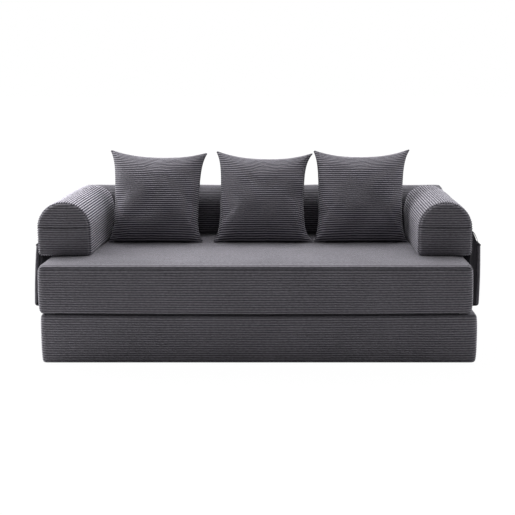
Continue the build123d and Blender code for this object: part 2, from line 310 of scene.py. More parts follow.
def add_node(tree, kind, inputs=(), **settings):
    """A node with its settings and the values or links of its inputs."""
    node = tree.nodes.new(kind)
    for name, value in settings.items():
        setattr(node, name, value)
    for key, value in dict(inputs).items():
        if isinstance(value, bpy.types.NodeSocket):
            tree.links.new(value, node.inputs[key])
        else:
            node.inputs[key].default_value = value
    return node


def maths(tree, operation, *values):
    """The result of a Math node."""
    return add_node(tree, "ShaderNodeMath", enumerate(values), operation=operation).outputs[0]


def centred(tree, pattern, amount):
    """A pattern from 0 to 1, laid round 0 and scaled."""
    return maths(tree, "MULTIPLY", maths(tree, "SUBTRACT", pattern, 0.5), amount)


def scaled(tree, vector, amount):
    """A vector or a colour times a number."""
    inputs = {0: vector, "Scale": amount}
    return add_node(tree, "ShaderNodeVectorMath", inputs, operation="SCALE").outputs[0]


def noise(tree, place, scale, detail, seed=None):
    """Noise from 0 to 1, with a seed or without."""
    inputs = {"Vector": place, "Scale": scale, "Detail": detail}
    if seed is None:
        return add_node(tree, "ShaderNodeTexNoise", inputs).outputs[0]
    inputs["W"] = seed
    return add_node(tree, "ShaderNodeTexNoise", inputs, noise_dimensions="4D").outputs[0]


def new_group(name, kind, inputs, outputs):
    """An empty node group with named sockets, its inputs and its output node."""
    tree = bpy.data.node_groups.new(name, kind)
    for label, socket, *default in inputs:
        made = tree.interface.new_socket(
            label, in_out="INPUT", socket_type=f"NodeSocket{socket}")
        if default:
            made.default_value = default[0]
    for label, socket in outputs:
        tree.interface.new_socket(label, in_out="OUTPUT", socket_type=f"NodeSocket{socket}")
    return tree, tree.nodes.new("NodeGroupInput").outputs, tree.nodes.new("NodeGroupOutput")


def end_group(tree, end, **results):
    """Links the results of a group to its output node."""
    for label, socket in results.items():
        tree.links.new(socket, end.inputs[label])


def end_geometry(tree, end, geometry, material):
    """Makes instances real, gives them their material and links them to the output node."""
    whole = add_node(tree, "GeometryNodeRealizeInstances", {"Geometry": geometry})
    covered = add_node(
        tree, "GeometryNodeSetMaterial", {"Geometry": whole.outputs[0], "Material": material})
    end_group(tree, end, Geometry=covered.outputs[0])


def named(tree, label):
    """A number that the mesh holds under a name."""
    return add_node(tree, "GeometryNodeInputNamedAttribute", {"Name": label}).outputs[0]


def store(tree, geometry, label, value):
    """Stores a number on the points of the mesh under a name."""
    return add_node(
        tree, "GeometryNodeStoreNamedAttribute",
        {"Geometry": geometry, "Name": label, "Value": value},
        data_type="FLOAT", domain="POINT").outputs[0]


def wale_tree():
    """Geometry Nodes that raise the wales of corduroy over a smooth form, and store the painted
    shade of their grooves and seams and the painted top light.
    """
    tree, given, end = new_group("corduroy_wales", "GeometryNodeTree", [
        ("Geometry", "Geometry"), ("Pitch", "Float", 0.0113), ("Depth", "Float", 0.0024),
        ("Crest", "Float", 0.0007), ("Roundness", "Float", 0.6), ("Wander", "Float", 0.001),
        ("Shading", "Float", 1.0), ("Nap", "Float", 0.0), ("Seed", "Int", 0),
        ("Cloth", "Material"),
    ], [("Geometry", "Geometry")])
    across, relief = named(tree, "across"), named(tree, "relief")
    place = add_node(tree, "GeometryNodeInputPosition").outputs[0]
    facing = add_node(tree, "GeometryNodeInputNormal").outputs[0]
    stray = centred(tree, noise(tree, place, 3.0, 1.0, given["Seed"]), given["Wander"])
    run = maths(tree, "MULTIPLY_ADD", stray, 2.0, across)
    turn = maths(tree, "MULTIPLY", maths(tree, "DIVIDE", run, given["Pitch"]), math.pi)
    wave = maths(tree, "ABSOLUTE", maths(tree, "SINE", turn))
    height = maths(tree, "POWER", maths(tree, "MAXIMUM", wave, 0.0001), given["Roundness"])
    fuzz = centred(tree, noise(tree, place, 60.0, 2.0, given["Seed"]), 0.35)
    uneven = maths(tree, "MULTIPLY", height, maths(tree, "ADD", fuzz, 1.0))
    lift = maths(tree, "SUBTRACT", maths(tree, "MULTIPLY", uneven, given["Depth"]), given["Depth"])
    lift = maths(tree, "MULTIPLY", maths(tree, "ADD", lift, given["Crest"]), relief)
    # Painted shade: the grooves, and the seams and hems where the relief fades, are stored darker
    # in the wale value.
    shown = maths(tree, "MULTIPLY", height, maths(tree, "MULTIPLY_ADD", relief, 0.4, 0.6))
    painted_groove_and_seam_shade = maths(tree, "MULTIPLY", maths(tree, "SUBTRACT", 1.0, shown), given["Shading"])
    # Painted light: cloth that faces up is stored lighter in the nap value, by the top-light value.
    up = add_node(tree, "ShaderNodeSeparateXYZ", {0: facing}).outputs[2]
    painted_top_light_share = maths(tree, "MULTIPLY_ADD", maths(tree, "MAXIMUM", up, 0.0), 0.7, 0.3)
    marked = store(tree, given["Geometry"], "wale", maths(tree, "SUBTRACT", 1.0, painted_groove_and_seam_shade))
    marked = store(tree, marked, "nap", maths(tree, "MULTIPLY", given["Nap"], painted_top_light_share))
    moved = add_node(
        tree, "GeometryNodeSetPosition",
        {"Geometry": marked, "Offset": scaled(tree, facing, lift)}).outputs[0]
    end_geometry(tree, end, moved, given["Cloth"])
    return tree


def rod_tree():
    """Geometry Nodes that lay thin rods along a line: stitches, or the turns of a zip's coil."""
    tree, given, end = new_group("row_of_rods", "GeometryNodeTree", [
        ("Start", "Vector"), ("End", "Vector"), ("Pitch", "Float", 0.0045),
        ("Length", "Float", 0.003), ("Radius", "Float", 0.0004), ("Turn", "Vector"),
        ("Thread", "Material"),
    ], [("Geometry", "Geometry")])
    line = add_node(
        tree, "GeometryNodeCurvePrimitiveLine", {"Start": given["Start"], "End": given["End"]})
    places = add_node(
        tree, "GeometryNodeResampleCurve", {"Curve": line.outputs[0], "Length": given["Pitch"]},
        mode="LENGTH")
    rod = add_node(
        tree, "GeometryNodeMeshCylinder",
        {"Vertices": 6, "Radius": given["Radius"], "Depth": given["Length"]})
    turn = add_node(tree, "FunctionNodeEulerToRotation", {0: given["Turn"]})
    laid = add_node(
        tree, "GeometryNodeTransform", {"Geometry": rod.outputs[0], "Rotation": turn.outputs[0]})
    row = add_node(
        tree, "GeometryNodeInstanceOnPoints",
        {"Points": places.outputs[0], "Instance": laid.outputs[0]})
    end_geometry(tree, end, row.outputs[0], given["Thread"])
    return tree


def run_nodes(piece, tree, values):
    """Runs a Geometry Nodes tree on a piece and keeps its result as a plain mesh."""
    modifier = piece.modifiers.new(tree.name, "NODES")
    modifier.node_group = tree
    for item in tree.interface.items_tree:
        if item.item_type == "SOCKET" and item.in_out == "INPUT" and item.name in values:
            modifier[item.identifier] = values[item.name]
    keep_result(piece)


def keep_result(piece):
    """Turns what a piece's modifiers make into its plain mesh."""
    graph = bpy.context.evaluated_depsgraph_get()
    made = bpy.data.meshes.new_from_object(piece.evaluated_get(graph))
    piece.modifiers.clear()
    old, piece.data = piece.data, made
    made.name = piece.name
    if old.users == 0:
        bpy.data.meshes.remove(old)


# Materials


def pile_group():
    """Shader group for corduroy pile: colours of crests and of grooves, whose darkness is partly
    painted shade, mottled nap, painted top light and short fibres.
    """
    tree, given, end = new_group("corduroy_pile", "ShaderNodeTree", [
        ("Crest Colour", "Color", (0.12, 0.12, 0.13, 1)),
        ("Groove Colour", "Color", (0.02, 0.02, 0.025, 1)),
        ("Mottle", "Float", 0.3), ("Streaks", "Float", 0.7),
    ], [("Colour", "Color"), ("Roughness", "Float"), ("Sheen", "Float"), ("Height", "Float")])
    # The wale value holds painted shade for the grooves and seams; the nap value holds painted top
    # light.
    wale = add_node(tree, "ShaderNodeAttribute", attribute_name="wale").outputs["Fac"]
    painted_top_light = add_node(tree, "ShaderNodeAttribute", attribute_name="nap").outputs["Fac"]
    depth = add_node(
        tree, "ShaderNodeMapRange", {0: wale, 1: 0.3, 2: 1.0, 3: 0.0, 4: 1.0},
        interpolation_type="SMOOTHSTEP").outputs[0]
    flat = add_node(tree, "ShaderNodeUVMap", uv_map="cloth").outputs[0]
    body = add_node(tree, "ShaderNodeTexCoord").outputs["Object"]

    def along(scale, detail):
        place = add_node(tree, "ShaderNodeMapping", {"Vector": flat, "Scale": scale}).outputs[0]
        return noise(tree, place, 1.0, detail)

    fibre = along((900.0, 1500.0, 1.0), 3.0)
    nap = centred(tree, noise(tree, body, 5.0, 3.0), given["Mottle"])
    line = centred(tree, along((75.0, 150.0, 1.0), 2.0), given["Streaks"])
    hair = centred(tree, fibre, 0.5)
    level = maths(tree, "ADD", maths(tree, "ADD", nap, line), maths(tree, "ADD", hair, 1.0))
    # Painted light: the colour is made lighter where the cloth faces up.
    level = maths(tree, "MULTIPLY", level, maths(tree, "ADD", painted_top_light, 1.0))
    # Painted shade: the grooves take the darker colour, partly the ground cloth's own and partly
    # shade.
    mixed = add_node(
        tree, "ShaderNodeMix",
        {0: depth, 6: given["Groove Colour"], 7: given["Crest Colour"]}, data_type="RGBA")
    end_group(tree, end, Colour=scaled(tree, mixed.outputs[2], level), Height=fibre,
              Roughness=maths(tree, "MULTIPLY_ADD", hair, 0.3, 0.9),
              Sheen=maths(tree, "MULTIPLY_ADD", depth, 0.9, 0.1))
    return tree


def weave_group():
    """Shader group for plain woven cloth, with crossing threads and slight colour variation."""
    tree, given, end = new_group("plain_weave", "ShaderNodeTree", [
        ("Colour", "Color", (0.5, 0.5, 0.5, 1)), ("Threads", "Float", 900.0),
        ("Mottle", "Float", 0.25),
    ], [("Colour", "Color"), ("Height", "Float")])
    body = add_node(tree, "ShaderNodeTexCoord").outputs["Object"]
    parts = add_node(tree, "ShaderNodeSeparateXYZ", {0: body}).outputs
    turns = [maths(tree, "SINE", maths(tree, "MULTIPLY", part, given["Threads"])) for part in parts]
    woven = maths(tree, "ADD", maths(tree, "ADD", turns[0], turns[1]), turns[2])
    cloud = centred(tree, noise(tree, body, 14.0, 4.0), given["Mottle"])
    level = maths(tree, "ADD", cloud, maths(tree, "MULTIPLY_ADD", woven, 0.04, 1.0))
    end_group(tree, end, Colour=scaled(tree, given["Colour"], level), Height=woven)
    return tree


def cell_group():
    """Shader group for open cells, for foam and fibre filling."""
    tree, given, end = new_group("open_cells", "ShaderNodeTree", [
        ("Colour", "Color", (0.8, 0.8, 0.7, 1)), ("Cell Scale", "Float", 500.0),
    ], [("Colour", "Color"), ("Height", "Float")])
    body = add_node(tree, "ShaderNodeTexCoord").outputs["Object"]
    cell = add_node(
        tree, "ShaderNodeTexVoronoi", {"Vector": body, "Scale": given["Cell Scale"]}).outputs[0]
    cloud = maths(tree, "MULTIPLY_ADD", noise(tree, body, 9.0, 4.0), 0.2, 0.75)
    level = maths(tree, "MULTIPLY_ADD", cell, 0.25, cloud)
    end_group(tree, end, Colour=scaled(tree, given["Colour"], level), Height=cell)
    return tree


def finish_material(name, group, values, bump, sockets):
    """A material of one Principled shader, coloured and roughened by a group."""
    material = bpy.data.materials.new(name)
    material.use_nodes = True
    tree = material.node_tree
    shader = tree.nodes["Principled BSDF"]
    for label, value in sockets.items():
        shader.inputs[label].default_value = value
    pattern = tree.nodes.new("ShaderNodeGroup")
    pattern.node_tree = group
    for label, value in values.items():
        pattern.inputs[label].default_value = value
    relief = add_node(
        tree, "ShaderNodeBump",
        {"Height": pattern.outputs["Height"], "Distance": bump, "Strength": 0.6})
    tree.links.new(pattern.outputs["Colour"], shader.inputs["Base Color"])
    tree.links.new(relief.outputs[0], shader.inputs["Normal"])
    if "Roughness" in pattern.outputs:
        tree.links.new(pattern.outputs["Roughness"], shader.inputs["Roughness"])
        tree.links.new(pattern.outputs["Sheen"], shader.inputs["Sheen Weight"])
    return material


def make_materials():
    """Every material of the sofa bed, by its slot's name."""
    cloth = sizes().cloth
    pile, weave, cells = pile_group(), weave_group(), cell_group()
    shades = {"Crest Colour": (*cloth.colour, 1), "Groove Colour": (*cloth.groove_and_shade, 1)}
    nap = {"Sheen Roughness": 0.45, "Sheen Tint": (0.75, 0.74, 0.8, 1), "Specular IOR Level": 0.2}
    dull = {"Roughness": 0.85, "Specular IOR Level": 0.25}
    metal = {"Roughness": 0.38, "Metallic": 0.6}
    made = {
        name: finish_material(
            name, pile, {**shades, "Mottle": mottle, "Streaks": streaks}, 0.0004, nap)
        for name, mottle, streaks in (
            ("sofa_corduroy", 0.3, 1.0), ("pillow_corduroy", 0.45, 0.6),
            ("pocket_corduroy", 0.3, 0.6))}
    for name, colour, threads, sockets in (
            ("lining", (0.75, 0.74, 0.71, 1), 2600.0, dull),
            ("hinge_cloth", (0.06, 0.057, 0.066, 1), 3200.0, dull),
            ("zip_tape", (0.05, 0.048, 0.055, 1), 4200.0, dull),
            ("zip_metal", (0.06, 0.06, 0.065, 1), 300.0, metal)):
        made[name] = finish_material(
            name, weave, {"Colour": colour, "Threads": threads}, 0.0002, sockets)
    for name, colour, scale, bump in (
            ("hook_and_loop", (0.05, 0.05, 0.055, 1), 900.0, 0.0006),
            ("foam", (0.86, 0.82, 0.68, 1), 700.0, 0.0006),
            ("pillow_filling", (0.88, 0.88, 0.86, 1), 160.0, 0.002)):
        made[name] = finish_material(
            name, cells, {"Colour": colour, "Cell Scale": scale}, bump, dull)
    return made


# Meshes


def new_object(name, data):
    """An object in the scene."""
    made = bpy.data.objects.new(name, data)
    bpy.context.scene.collection.objects.link(made)
    return made


def quad_grid(rows, cols):
    """The quads of a grid of points."""
    index = np.arange(rows * cols).reshape(rows, cols)
    quads = np.stack([index[:-1, :-1], index[:-1, 1:], index[1:, 1:], index[1:, :-1]], -1)
    return quads.reshape(-1, 4)


def grid(*parts):
    """A grid of points, or of flat places, from their coordinates."""
    return np.stack(np.broadcast_arrays(*parts), -1)


def ramp(value, start, width):
    """Rises from 0 at start to 1 at start and width."""
    return np.clip((value - start) / width, 0, 1)


def grid_piece(name, points, across, relief, flat, flip=False):
    """A quad mesh from a grid of points, with its wale run, its relief and its own UV map."""
    rows, cols = points.shape[:2]
    quads = quad_grid(rows, cols)
    if flip:
        quads = quads[:, ::-1]
    mesh = bpy.data.meshes.new(name)
    mesh.vertices.add(rows * cols)
    mesh.vertices.foreach_set("co", points.reshape(-1).astype(np.float32))
    mesh.loops.add(quads.size)
    mesh.loops.foreach_set("vertex_index", quads.reshape(-1).astype(np.int32))
    mesh.polygons.add(len(quads))
    mesh.polygons.foreach_set("loop_start", np.arange(0, quads.size, 4, dtype=np.int32))
    mesh.update(calc_edges=True)
    for label, values in (("across", across), ("relief", relief)):
        wide = np.broadcast_to(values, (rows, cols)).astype(np.float32).reshape(-1)
        mesh.attributes.new(label, "FLOAT", "POINT").data.foreach_set("value", wide)
    corners = flat.reshape(-1, 2)[quads.reshape(-1)].astype(np.float32)
    mesh.uv_layers.new(name="cloth").data.foreach_set("uv", corners.reshape(-1))
    mesh.shade_smooth()
    return new_object(name, mesh)


def hemmed(name, points, inner, across, relief, flat, flip=False, rows=1, cols=1):
    """A cloth piece whose seam edge is turned in to inner, at the ends of its rows and columns."""
    shape = points.shape[:2]

    def grow(values):
        wide = [(rows, rows), (cols, cols)] + [(0, 0)] * (values.ndim - 2)
        return np.pad(values, wide, mode="edge")

    border = np.ones((shape[0] + 2 * rows, shape[1] + 2 * cols), bool)
    border[rows:rows + shape[0], cols:cols + shape[1]] = False
    grown, relief = grow(points), grow(np.broadcast_to(relief, shape))
    grown[border] = grow(inner)[border]
    relief[border] = 0
    return grid_piece(
        name, grown, grow(np.broadcast_to(across, shape)), relief, grow(flat), flip)


def move_points(piece, change):
    """Moves the points of a piece with a function that changes their array."""
    points = np.empty(len(piece.data.vertices) * 3, np.float32)
    piece.data.vertices.foreach_get("co", points)
    points = points.reshape(-1, 3).astype(float)
    change(points)
    piece.data.vertices.foreach_set("co", points.astype(np.float32).reshape(-1))
    piece.data.update()


def join(name, pieces):
    """One piece from several."""
    for other in bpy.context.scene.objects:
        other.select_set(other in pieces)
    bpy.context.view_layer.objects.active = pieces[0]
    bpy.ops.object.join()
    whole = bpy.context.view_layer.objects.active
    whole.name = whole.data.name = name
    return whole


def weld(piece, distance=0.00002):
    """Merges the coincident points of a piece."""
    modifier = piece.modifiers.new("weld", "WELD")
    modifier.merge_threshold = distance
    keep_result(piece)


def wales(piece, slot, seed, **changes):
    """Raises the wales on a cloth piece."""
    cloth = sizes().cloth
    run_nodes(piece, KIT["wales"], {
        "Pitch": cloth.pitch, "Depth": cloth.depth, "Crest": cloth.crest,
        "Roundness": cloth.roundness, "Wander": cloth.wander, "Seed": seed,
        "Cloth": KIT["materials"][slot], **changes})
    piece.data.shade_smooth()


def paint(piece, slot):
    """Gives a piece the one material of its slot."""
    piece.data.materials.clear()
    piece.data.materials.append(KIT["materials"][slot])


def dress(piece, slot, body, *nodes):
    """Gives a finished piece its body, and hides the CAD nodes that it stands for. The slot is not
    used.
    """
    if nodes:
        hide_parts(*nodes)
    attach(piece, body)


def unevenness(points, seed, size=0.0014, reach=0.24):
    """A smooth unevenness over a soft face, from a few fixed waves."""
    dice = np.random.default_rng(seed)
    total = np.zeros(points.shape[:-1])
    for _ in range(7):
        way = dice.normal(size=3)
        way *= 2 * math.pi / (reach * dice.uniform(0.6, 1.8)) / np.linalg.norm(way)
        total += np.sin(points @ way + dice.uniform(0, 2 * math.pi))
    return total * size / 2.6


# Outlines


def run_along(line):
    """The length of a line up to each of its points."""
    return np.concatenate([[0], np.cumsum(np.linalg.norm(np.diff(line, axis=0), axis=1))])


def line_normals(line):
    """The normals of a line, on its right."""
    way = np.gradient(line, axis=0)
    way /= np.linalg.norm(way, axis=1)[:, None]
    return np.stack([way[:, 1], -way[:, 0]], -1)


def closed_outline(start, arcs):
    """An outline of arcs joined by lines, from start and back: points, normals and run."""
    points, normals, end = [], [], start
    for centre, radius, first, last in arcs:
        angles = np.linspace(first, last, 33)
        normal = np.stack([np.cos(angles), np.sin(angles)], -1)
        arc = np.array(centre) + radius * normal
        points += [end, arc[0], *arc]
        normals += [normal[0], normal[0], *normal]
        end = arc[-1]
    points = np.array(points + [end, start], float)
    return points, np.array(normals + [normals[-1], normals[0]]), run_along(points)


def along_outline(outline, where):
    """Points and normals at runs along an outline."""
    points, normals, run = outline
    where = np.clip(where, 0, run[-1])
    place, normal = (
        np.stack([np.interp(where, run, values[:, k]) for k in (0, 1)], -1)
        for values in (points, normals))
    return place, normal / np.linalg.norm(normal, axis=-1, keepdims=True)


def slab_outline(length, depth, corner):
    """A slab's plan, counter-clockwise from the middle of its back."""
    x, y = length / 2 - corner, depth / 2 - corner
    return closed_outline((0, depth / 2), [
        ((-x, y), corner, QUARTER, 2 * QUARTER), ((-x, -y), corner, 2 * QUARTER, 3 * QUARTER),
        ((x, -y), corner, 3 * QUARTER, 4 * QUARTER), ((x, y), corner, 0, QUARTER)])


def bolster_outline(width, height, corner):
    """A bolster's D section, counter-clockwise from the middle of its flat side."""
    half = width / 2
    return closed_outline((0, 0), [
        ((half - corner, corner), corner, -QUARTER, 0), ((0, height - half), half, 0, 2 * QUARTER),
        ((corner - half, corner), corner, 2 * QUARTER, 3 * QUARTER)])


def rounded_run(start, total, radius, angle):
    """Plan distance at runs over a form whose ends roll down from a seam at an angle."""
    near = np.minimum(start, total - start)
    turn = np.minimum(angle + near / radius, QUARTER)
    return radius * (1 - np.cos(turn)) + np.maximum(near - radius * (QUARTER - angle), 0)


def drop_at(distance, radius):
    """How far a rolled edge lies under its face at a distance in from the outline."""
    inner = np.clip(radius - distance, 0, radius)
    return radius - np.sqrt(np.maximum(radius * radius - inner * inner, 0))


def edge_steps(length, edge, fine, coarse):
    """Places from 0 to length, closely spaced within edge of both ends."""
    first = np.linspace(0, edge, max(2, round(edge / fine)) + 1)[:-1]
    middle = max(2, round((length - 2 * edge) / coarse))
    return np.concatenate(
        [first, np.linspace(edge, length - edge, middle + 1), length - first[::-1]])


def plan_depth(x, y, length, depth, corner):
    """Distance in from a slab's rounded plan."""
    qx, qy = np.abs(x) - (length / 2 - corner), np.abs(y) - (depth / 2 - corner)
    out = np.hypot(np.maximum(qx, 0), np.maximum(qy, 0)) + np.minimum(np.maximum(qx, qy), 0)
    return corner - out


# Slabs


def sag_at(x, length):
    """How far the joint between the slabs has sagged at a place along it."""
    return sizes().slab.sag * (1 - (2 * x / length) ** 2)


def slab_panel(name, size, level, radius, seed, crown, underside, sags):
    """A slab's top or bottom panel: wales along the length, edges rolled down to the seam."""
    slab, pitch = sizes().slab, sizes().cloth.pitch
    length, depth, middle = size
    roll = radius * (QUARTER - SLAB_SEAM)
    total = depth - 2 * radius + 2 * roll
    count = round(total / pitch)
    run = np.linspace(0, total, count * WALE_STEPS + 1)
    inset = radius * (1 - math.cos(SLAB_SEAM))
    rolled = rounded_run(run, total, radius, SLAB_SEAM)
    y = np.where(run < total - run, rolled - depth / 2, depth / 2 - rolled)
    over = np.maximum(np.abs(y) - (depth / 2 - slab.corner), 0)
    corner = np.sqrt(np.maximum((slab.corner - inset) ** 2 - over ** 2, 0))
    reach = length / 2 - inset
    places = edge_steps(2 * reach, roll * 1.2, fine=0.0025, coarse=0.027) / reach - 1
    x = (length / 2 - slab.corner + corner)[:, None] * places
    y = y[:, None]
    distance = plan_depth(x, y, length, depth, slab.corner)
    rise = unevenness(grid(x, y, 0), seed) * ramp(distance, radius, 0.05)
    rise -= drop_at(distance, radius)
    if crown:
        rise += crown(x, y)
    if sags:
        level = level - sag_at(x, length)
    way = -1 if underside else 1
    points = grid(x + middle, y, level + way * rise)
    # The edge is turned in under the panel
    turned, under = 0.018, 0.003
    inner = grid(x * (1 - turned / length) + middle, y * (1 - turned / depth),
                 level + way * (rise - under))
    across = run[:, None] * (count * pitch / total) + pitch / 2
    return hemmed(name, points, inner, across, ramp(distance, inset + 0.0015, 0.004),
                  grid(x, run[:, None]), underside)


def slab_band(name, size, low, high, edges, seed, joint, slit):
    """A slab's upright band, with its wales level and the slit for its zip at the back."""
    slab, pitch = sizes().slab, sizes().cloth.pitch
    length, depth, middle = size
    outline = slab_outline(length, depth, slab.corner)
    whole = outline[2][-1]
    places = np.concatenate([np.linspace(0, whole, round(whole / 0.02)), outline[2][::4]])
    places = np.unique(np.round(np.clip(places, 0, whole), 5))
    plan, normal = along_outline(outline, places)
    drops = [edge * (1 - math.sin(SLAB_SEAM)) for edge in edges]
    tall = high - low - sum(drops)
    count = round(tall / pitch) + 0.5
    run = np.linspace(0, 1, round(count * WALE_STEPS) + 1)[:, None]
    z = low + drops[0] + tall * run
    near = np.minimum(z - low, high - z)
    at_foot = run < 0.5
    past_seam = near - np.where(at_foot, *drops)
    pinch = np.where(at_foot, *BAND_PINCHES) * np.exp(-past_seam / BAND_PINCH_REACH)
    swell = slab.swell * (1 - np.abs(2 * run - 1) ** 3)
    out = swell - drop_at(near, np.where(at_foot, *edges)) - pinch
    out = out + (unevenness(grid(plan[:, 0], plan[:, 1], z), seed, 0.0012, 0.3)
                 * ramp(past_seam, 0, 0.03))
    straight = ramp(length / 2 - np.abs(plan[:, 0]), 0, 0.08)
    tame = np.where(np.abs(normal[:, 0]) > 0.5, 1.0, 0.35 + 0.65 * straight)
    out = np.where(out > 0, out * tame, out)
    slit_reach, slit_level = slit
    lips = (ramp(SLIT_HALF - np.abs(z - slit_level), 0, SLIT_LIP)
            * ramp(slit_reach - np.abs(plan[:, 0]), 0, SLIT_FADE) * (normal[:, 1] > 0.99))
    out = out * (1 - lips) - SLIT_DEPTH * lips
    fall = sag_at(plan[:, 0], length) * (1 - np.abs(z - joint) / (high - low))

    def face(out):
        return grid(plan[:, 0] + middle + normal[:, 0] * out, plan[:, 1] + normal[:, 1] * out,
                    z - fall)

    return hemmed(name, face(out), face(out - SLAB_HEM), run * count * pitch,
                  (1 - lips) * ramp(past_seam, 0.0012, 0.003), grid(places, run * tall), cols=0)


def slab_cover(name, seed, edges, crown=None, spread=0.0):
    """The corduroy cover of one slab: two panels and a band, sewn into one piece."""
    low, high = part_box(f"{name}_cover")
    slab = sizes().slab
    length, middle = high.x - low.x + 2 * spread, (low.x + high.x) / 2
    size = (length, high.y - low.y, middle)
    tape_low, tape_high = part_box(f"{name}_zip")
    slit = ((tape_high.x - tape_low.x) / 2 - TAPE_END, (tape_low.z + tape_high.z) / 2)
    level = high.z - slab.shoulder * SHOULDER_SHARE if crown else high.z
    joint = low.z if crown else high.z
    cover = f"{name}_corduroy"
    parts = [
        slab_panel(f"{cover}_top", size, level, edges[1], seed, crown, False, not crown),
        slab_panel(f"{cover}_bottom", size, low.z, edges[0], seed + 1, None, True, bool(crown)),
        slab_band(f"{cover}_band", size, low.z, level, edges, seed + 2, joint, slit),
    ]
    for k, part in enumerate(parts):
        wales(part, "sofa_corduroy", seed + k, **LOW_WALES)

    def settle(points):
        if spread:
            past = np.abs(points[:, 0] - middle) - length / 2
            end = np.maximum(past / DROOP_LENGTH + 1, 0)
            share = np.maximum((points[:, 2] - high.z) / DROOP_HEIGHT + 1, 0)
            points[:, 2] -= slab.droop * end ** 2 * share
        points[:, 2] = np.maximum(points[:, 2], FLOOR_GAP)

    whole = join(cover, parts)
    move_points(whole, settle)
    dress(whole, "sofa_corduroy", f"{name}_slab",
          *[f"{name}_{part}" for part in ("cover", "liner", "foam")])


class SOFABED_OT_slabs(bpy.types.Operator):
    """Covers the seat slab and the base slab in corduroy"""
    bl_idname = "sofabed.slabs"
    bl_label = "Slabs"

    def execute(self, context):
        slab = sizes().slab
        low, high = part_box("seat_cover")
        left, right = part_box("left_arm_cover")[1].x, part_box("right_arm_cover")[0].x
        front, rear = low.y + 0.015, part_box("centre_pillow_zip")[0].y - 0.06
        middle = (low.x + high.x) / 2

        def crown(x, y):
            """The seat swells between the arms and falls away to its shoulders."""
            u, v = ramp(x + middle, left, right - left), ramp(y, front, rear - front)
            inside = plan_depth(x, y, high.x - low.x, high.y - low.y, slab.corner)
            swell = slab.crown * (4 * u * (1 - u)) ** 0.6 * np.sin(math.pi * v) ** 1.3
            fallen = np.exp(-np.maximum(inside - 0.002, 0) / SHOULDER_REACH)
            return swell + slab.shoulder * (1 - fallen)

        slab_cover("seat", 11, (slab.edge, slab.seat_edge), crown)
        slab_cover("base", 21, (slab.foot_edge, slab.base_edge), spread=slab.spread)
        return {"FINISHED"}


# Bolsters


def seam_pinch(past_seam):
    """How deep the cloth of a bolster is drawn in by a seam, at a distance past it."""
    return 0.0018 * np.exp(-past_seam / 0.004)


def bolster_wrap(name, outline, length, slit, seed):
    """The wrap of a bolster along +Y from 0, with its wales along the length."""
    radius, pitch = sizes().bolster.edge, sizes().cloth.pitch
    whole = outline[2][-1]
    count = round(whole / pitch)
    run = np.linspace(0, whole, count * WALE_STEPS + 1)
    plan, normal = along_outline(outline, run)
    px, pz, nx, nz = plan[:, :1], plan[:, 1:], normal[:, :1], normal[:, 1:]
    start = radius * (1 - math.sin(BOLSTER_SEAM))
    y = edge_steps(length - 2 * start, radius * 1.6, fine=0.002, coarse=0.026) + start
    near = np.minimum(y, length - y)
    past_seam = near - start
    pucker_depth, pucker_pitch, pucker_reach = 0.0009, 0.03795, 0.014
    pucker = (pucker_depth * np.sin(run * 2 * math.pi / pucker_pitch)[:, None]
              * np.exp(-past_seam / pucker_reach))
    loose = ramp(pz, 0.03, 0.08) * ramp(near, radius, 0.04)
    out = unevenness(grid(px, y, pz), seed, 0.0012, 0.2) * loose + np.minimum(pucker, 0)
    out = out - drop_at(near, radius) - seam_pinch(past_seam)
    (slit_x, slit_z), slit_start, slit_end = slit
    lips = (ramp(SLIT_HALF - np.hypot(px - slit_x, pz - slit_z), 0, SLIT_LIP)
            * ramp(y, slit_start, SLIT_FADE) * ramp(slit_end - y, 0, SLIT_FADE))
    out = out * (1 - lips) - SLIT_DEPTH * lips
    inner = grid(px + nx * (out - BOLSTER_HEM), y, pz + nz * (out - BOLSTER_HEM))
    inner[:, [0, -1], 1] += (0.004, -0.004)
    return hemmed(name, grid(px + nx * out, y, pz + nz * out), inner,
                  run[:, None] * (count * pitch / whole),
                  ramp(past_seam, 0.001, 0.004) * (1 - lips), grid(y, run[:, None]), rows=0)


def half_width(outline, z, inset):
    """Half the width of a bolster's section, moved inwards, at heights z."""
    points = outline[0] - outline[1] * inset
    points = points[points[:, 0] > 0]
    points = points[np.argsort(points[:, 1])]
    return np.interp(z, points[:, 1], points[:, 0])


def end_panel(name, outline, low, high, seam, seed, far):
    """An end panel of a bolster, or a part of it from low to high, facing -Y, or +Y if far."""
    settings, pitch = sizes().bolster, sizes().cloth.pitch
    radius = settings.edge
    inset = radius * (1 - math.cos(BOLSTER_SEAM))
    low, high = max(low, inset), min(high, outline[0][:, 1].max() - inset)
    count = round((high - low) / pitch)
    run = np.linspace(0, high - low, count * WALE_STEPS + 1)[:, None]
    z = low + run
    x = half_width(outline, z, inset) * np.sin(np.linspace(-QUARTER, QUARTER, 41))
    dense = along_outline(outline, np.linspace(0, outline[2][-1], 400))[0]
    gap = np.hypot(x[..., None] - dense[:, 0], z[..., None] - dense[:, 1]).min(-1)
    gap = np.maximum(gap, inset)
    near = np.abs(z - seam)
    y = drop_at(gap, radius) + seam_pinch(gap - inset)
    y -= settings.dome * (1 - np.exp(-(gap - inset) / 0.03))
    # The cloth dips into the seam across the panel and stands up in a roll on both sides of it
    seam_width, roll, roll_place, roll_width = 0.0035, 0.0022, 0.009, 0.005
    y += settings.pinch * np.exp(-near / seam_width)
    y -= roll * np.exp(-((near - roll_place) / roll_width) ** 2)
    y += unevenness(grid(x, y, z), seed, 0.001, 0.12) * ramp(gap, 0.012, 0.03)
    way = -1 if far else 1
    return hemmed(name, grid(x, way * y, z), grid(x * 0.97, way * (y + 0.005), z),
                  run * count * pitch / (high - low),
                  ramp(gap, inset + 0.001, 0.004) * ramp(near, 0.001, 0.003), grid(x, run), far)


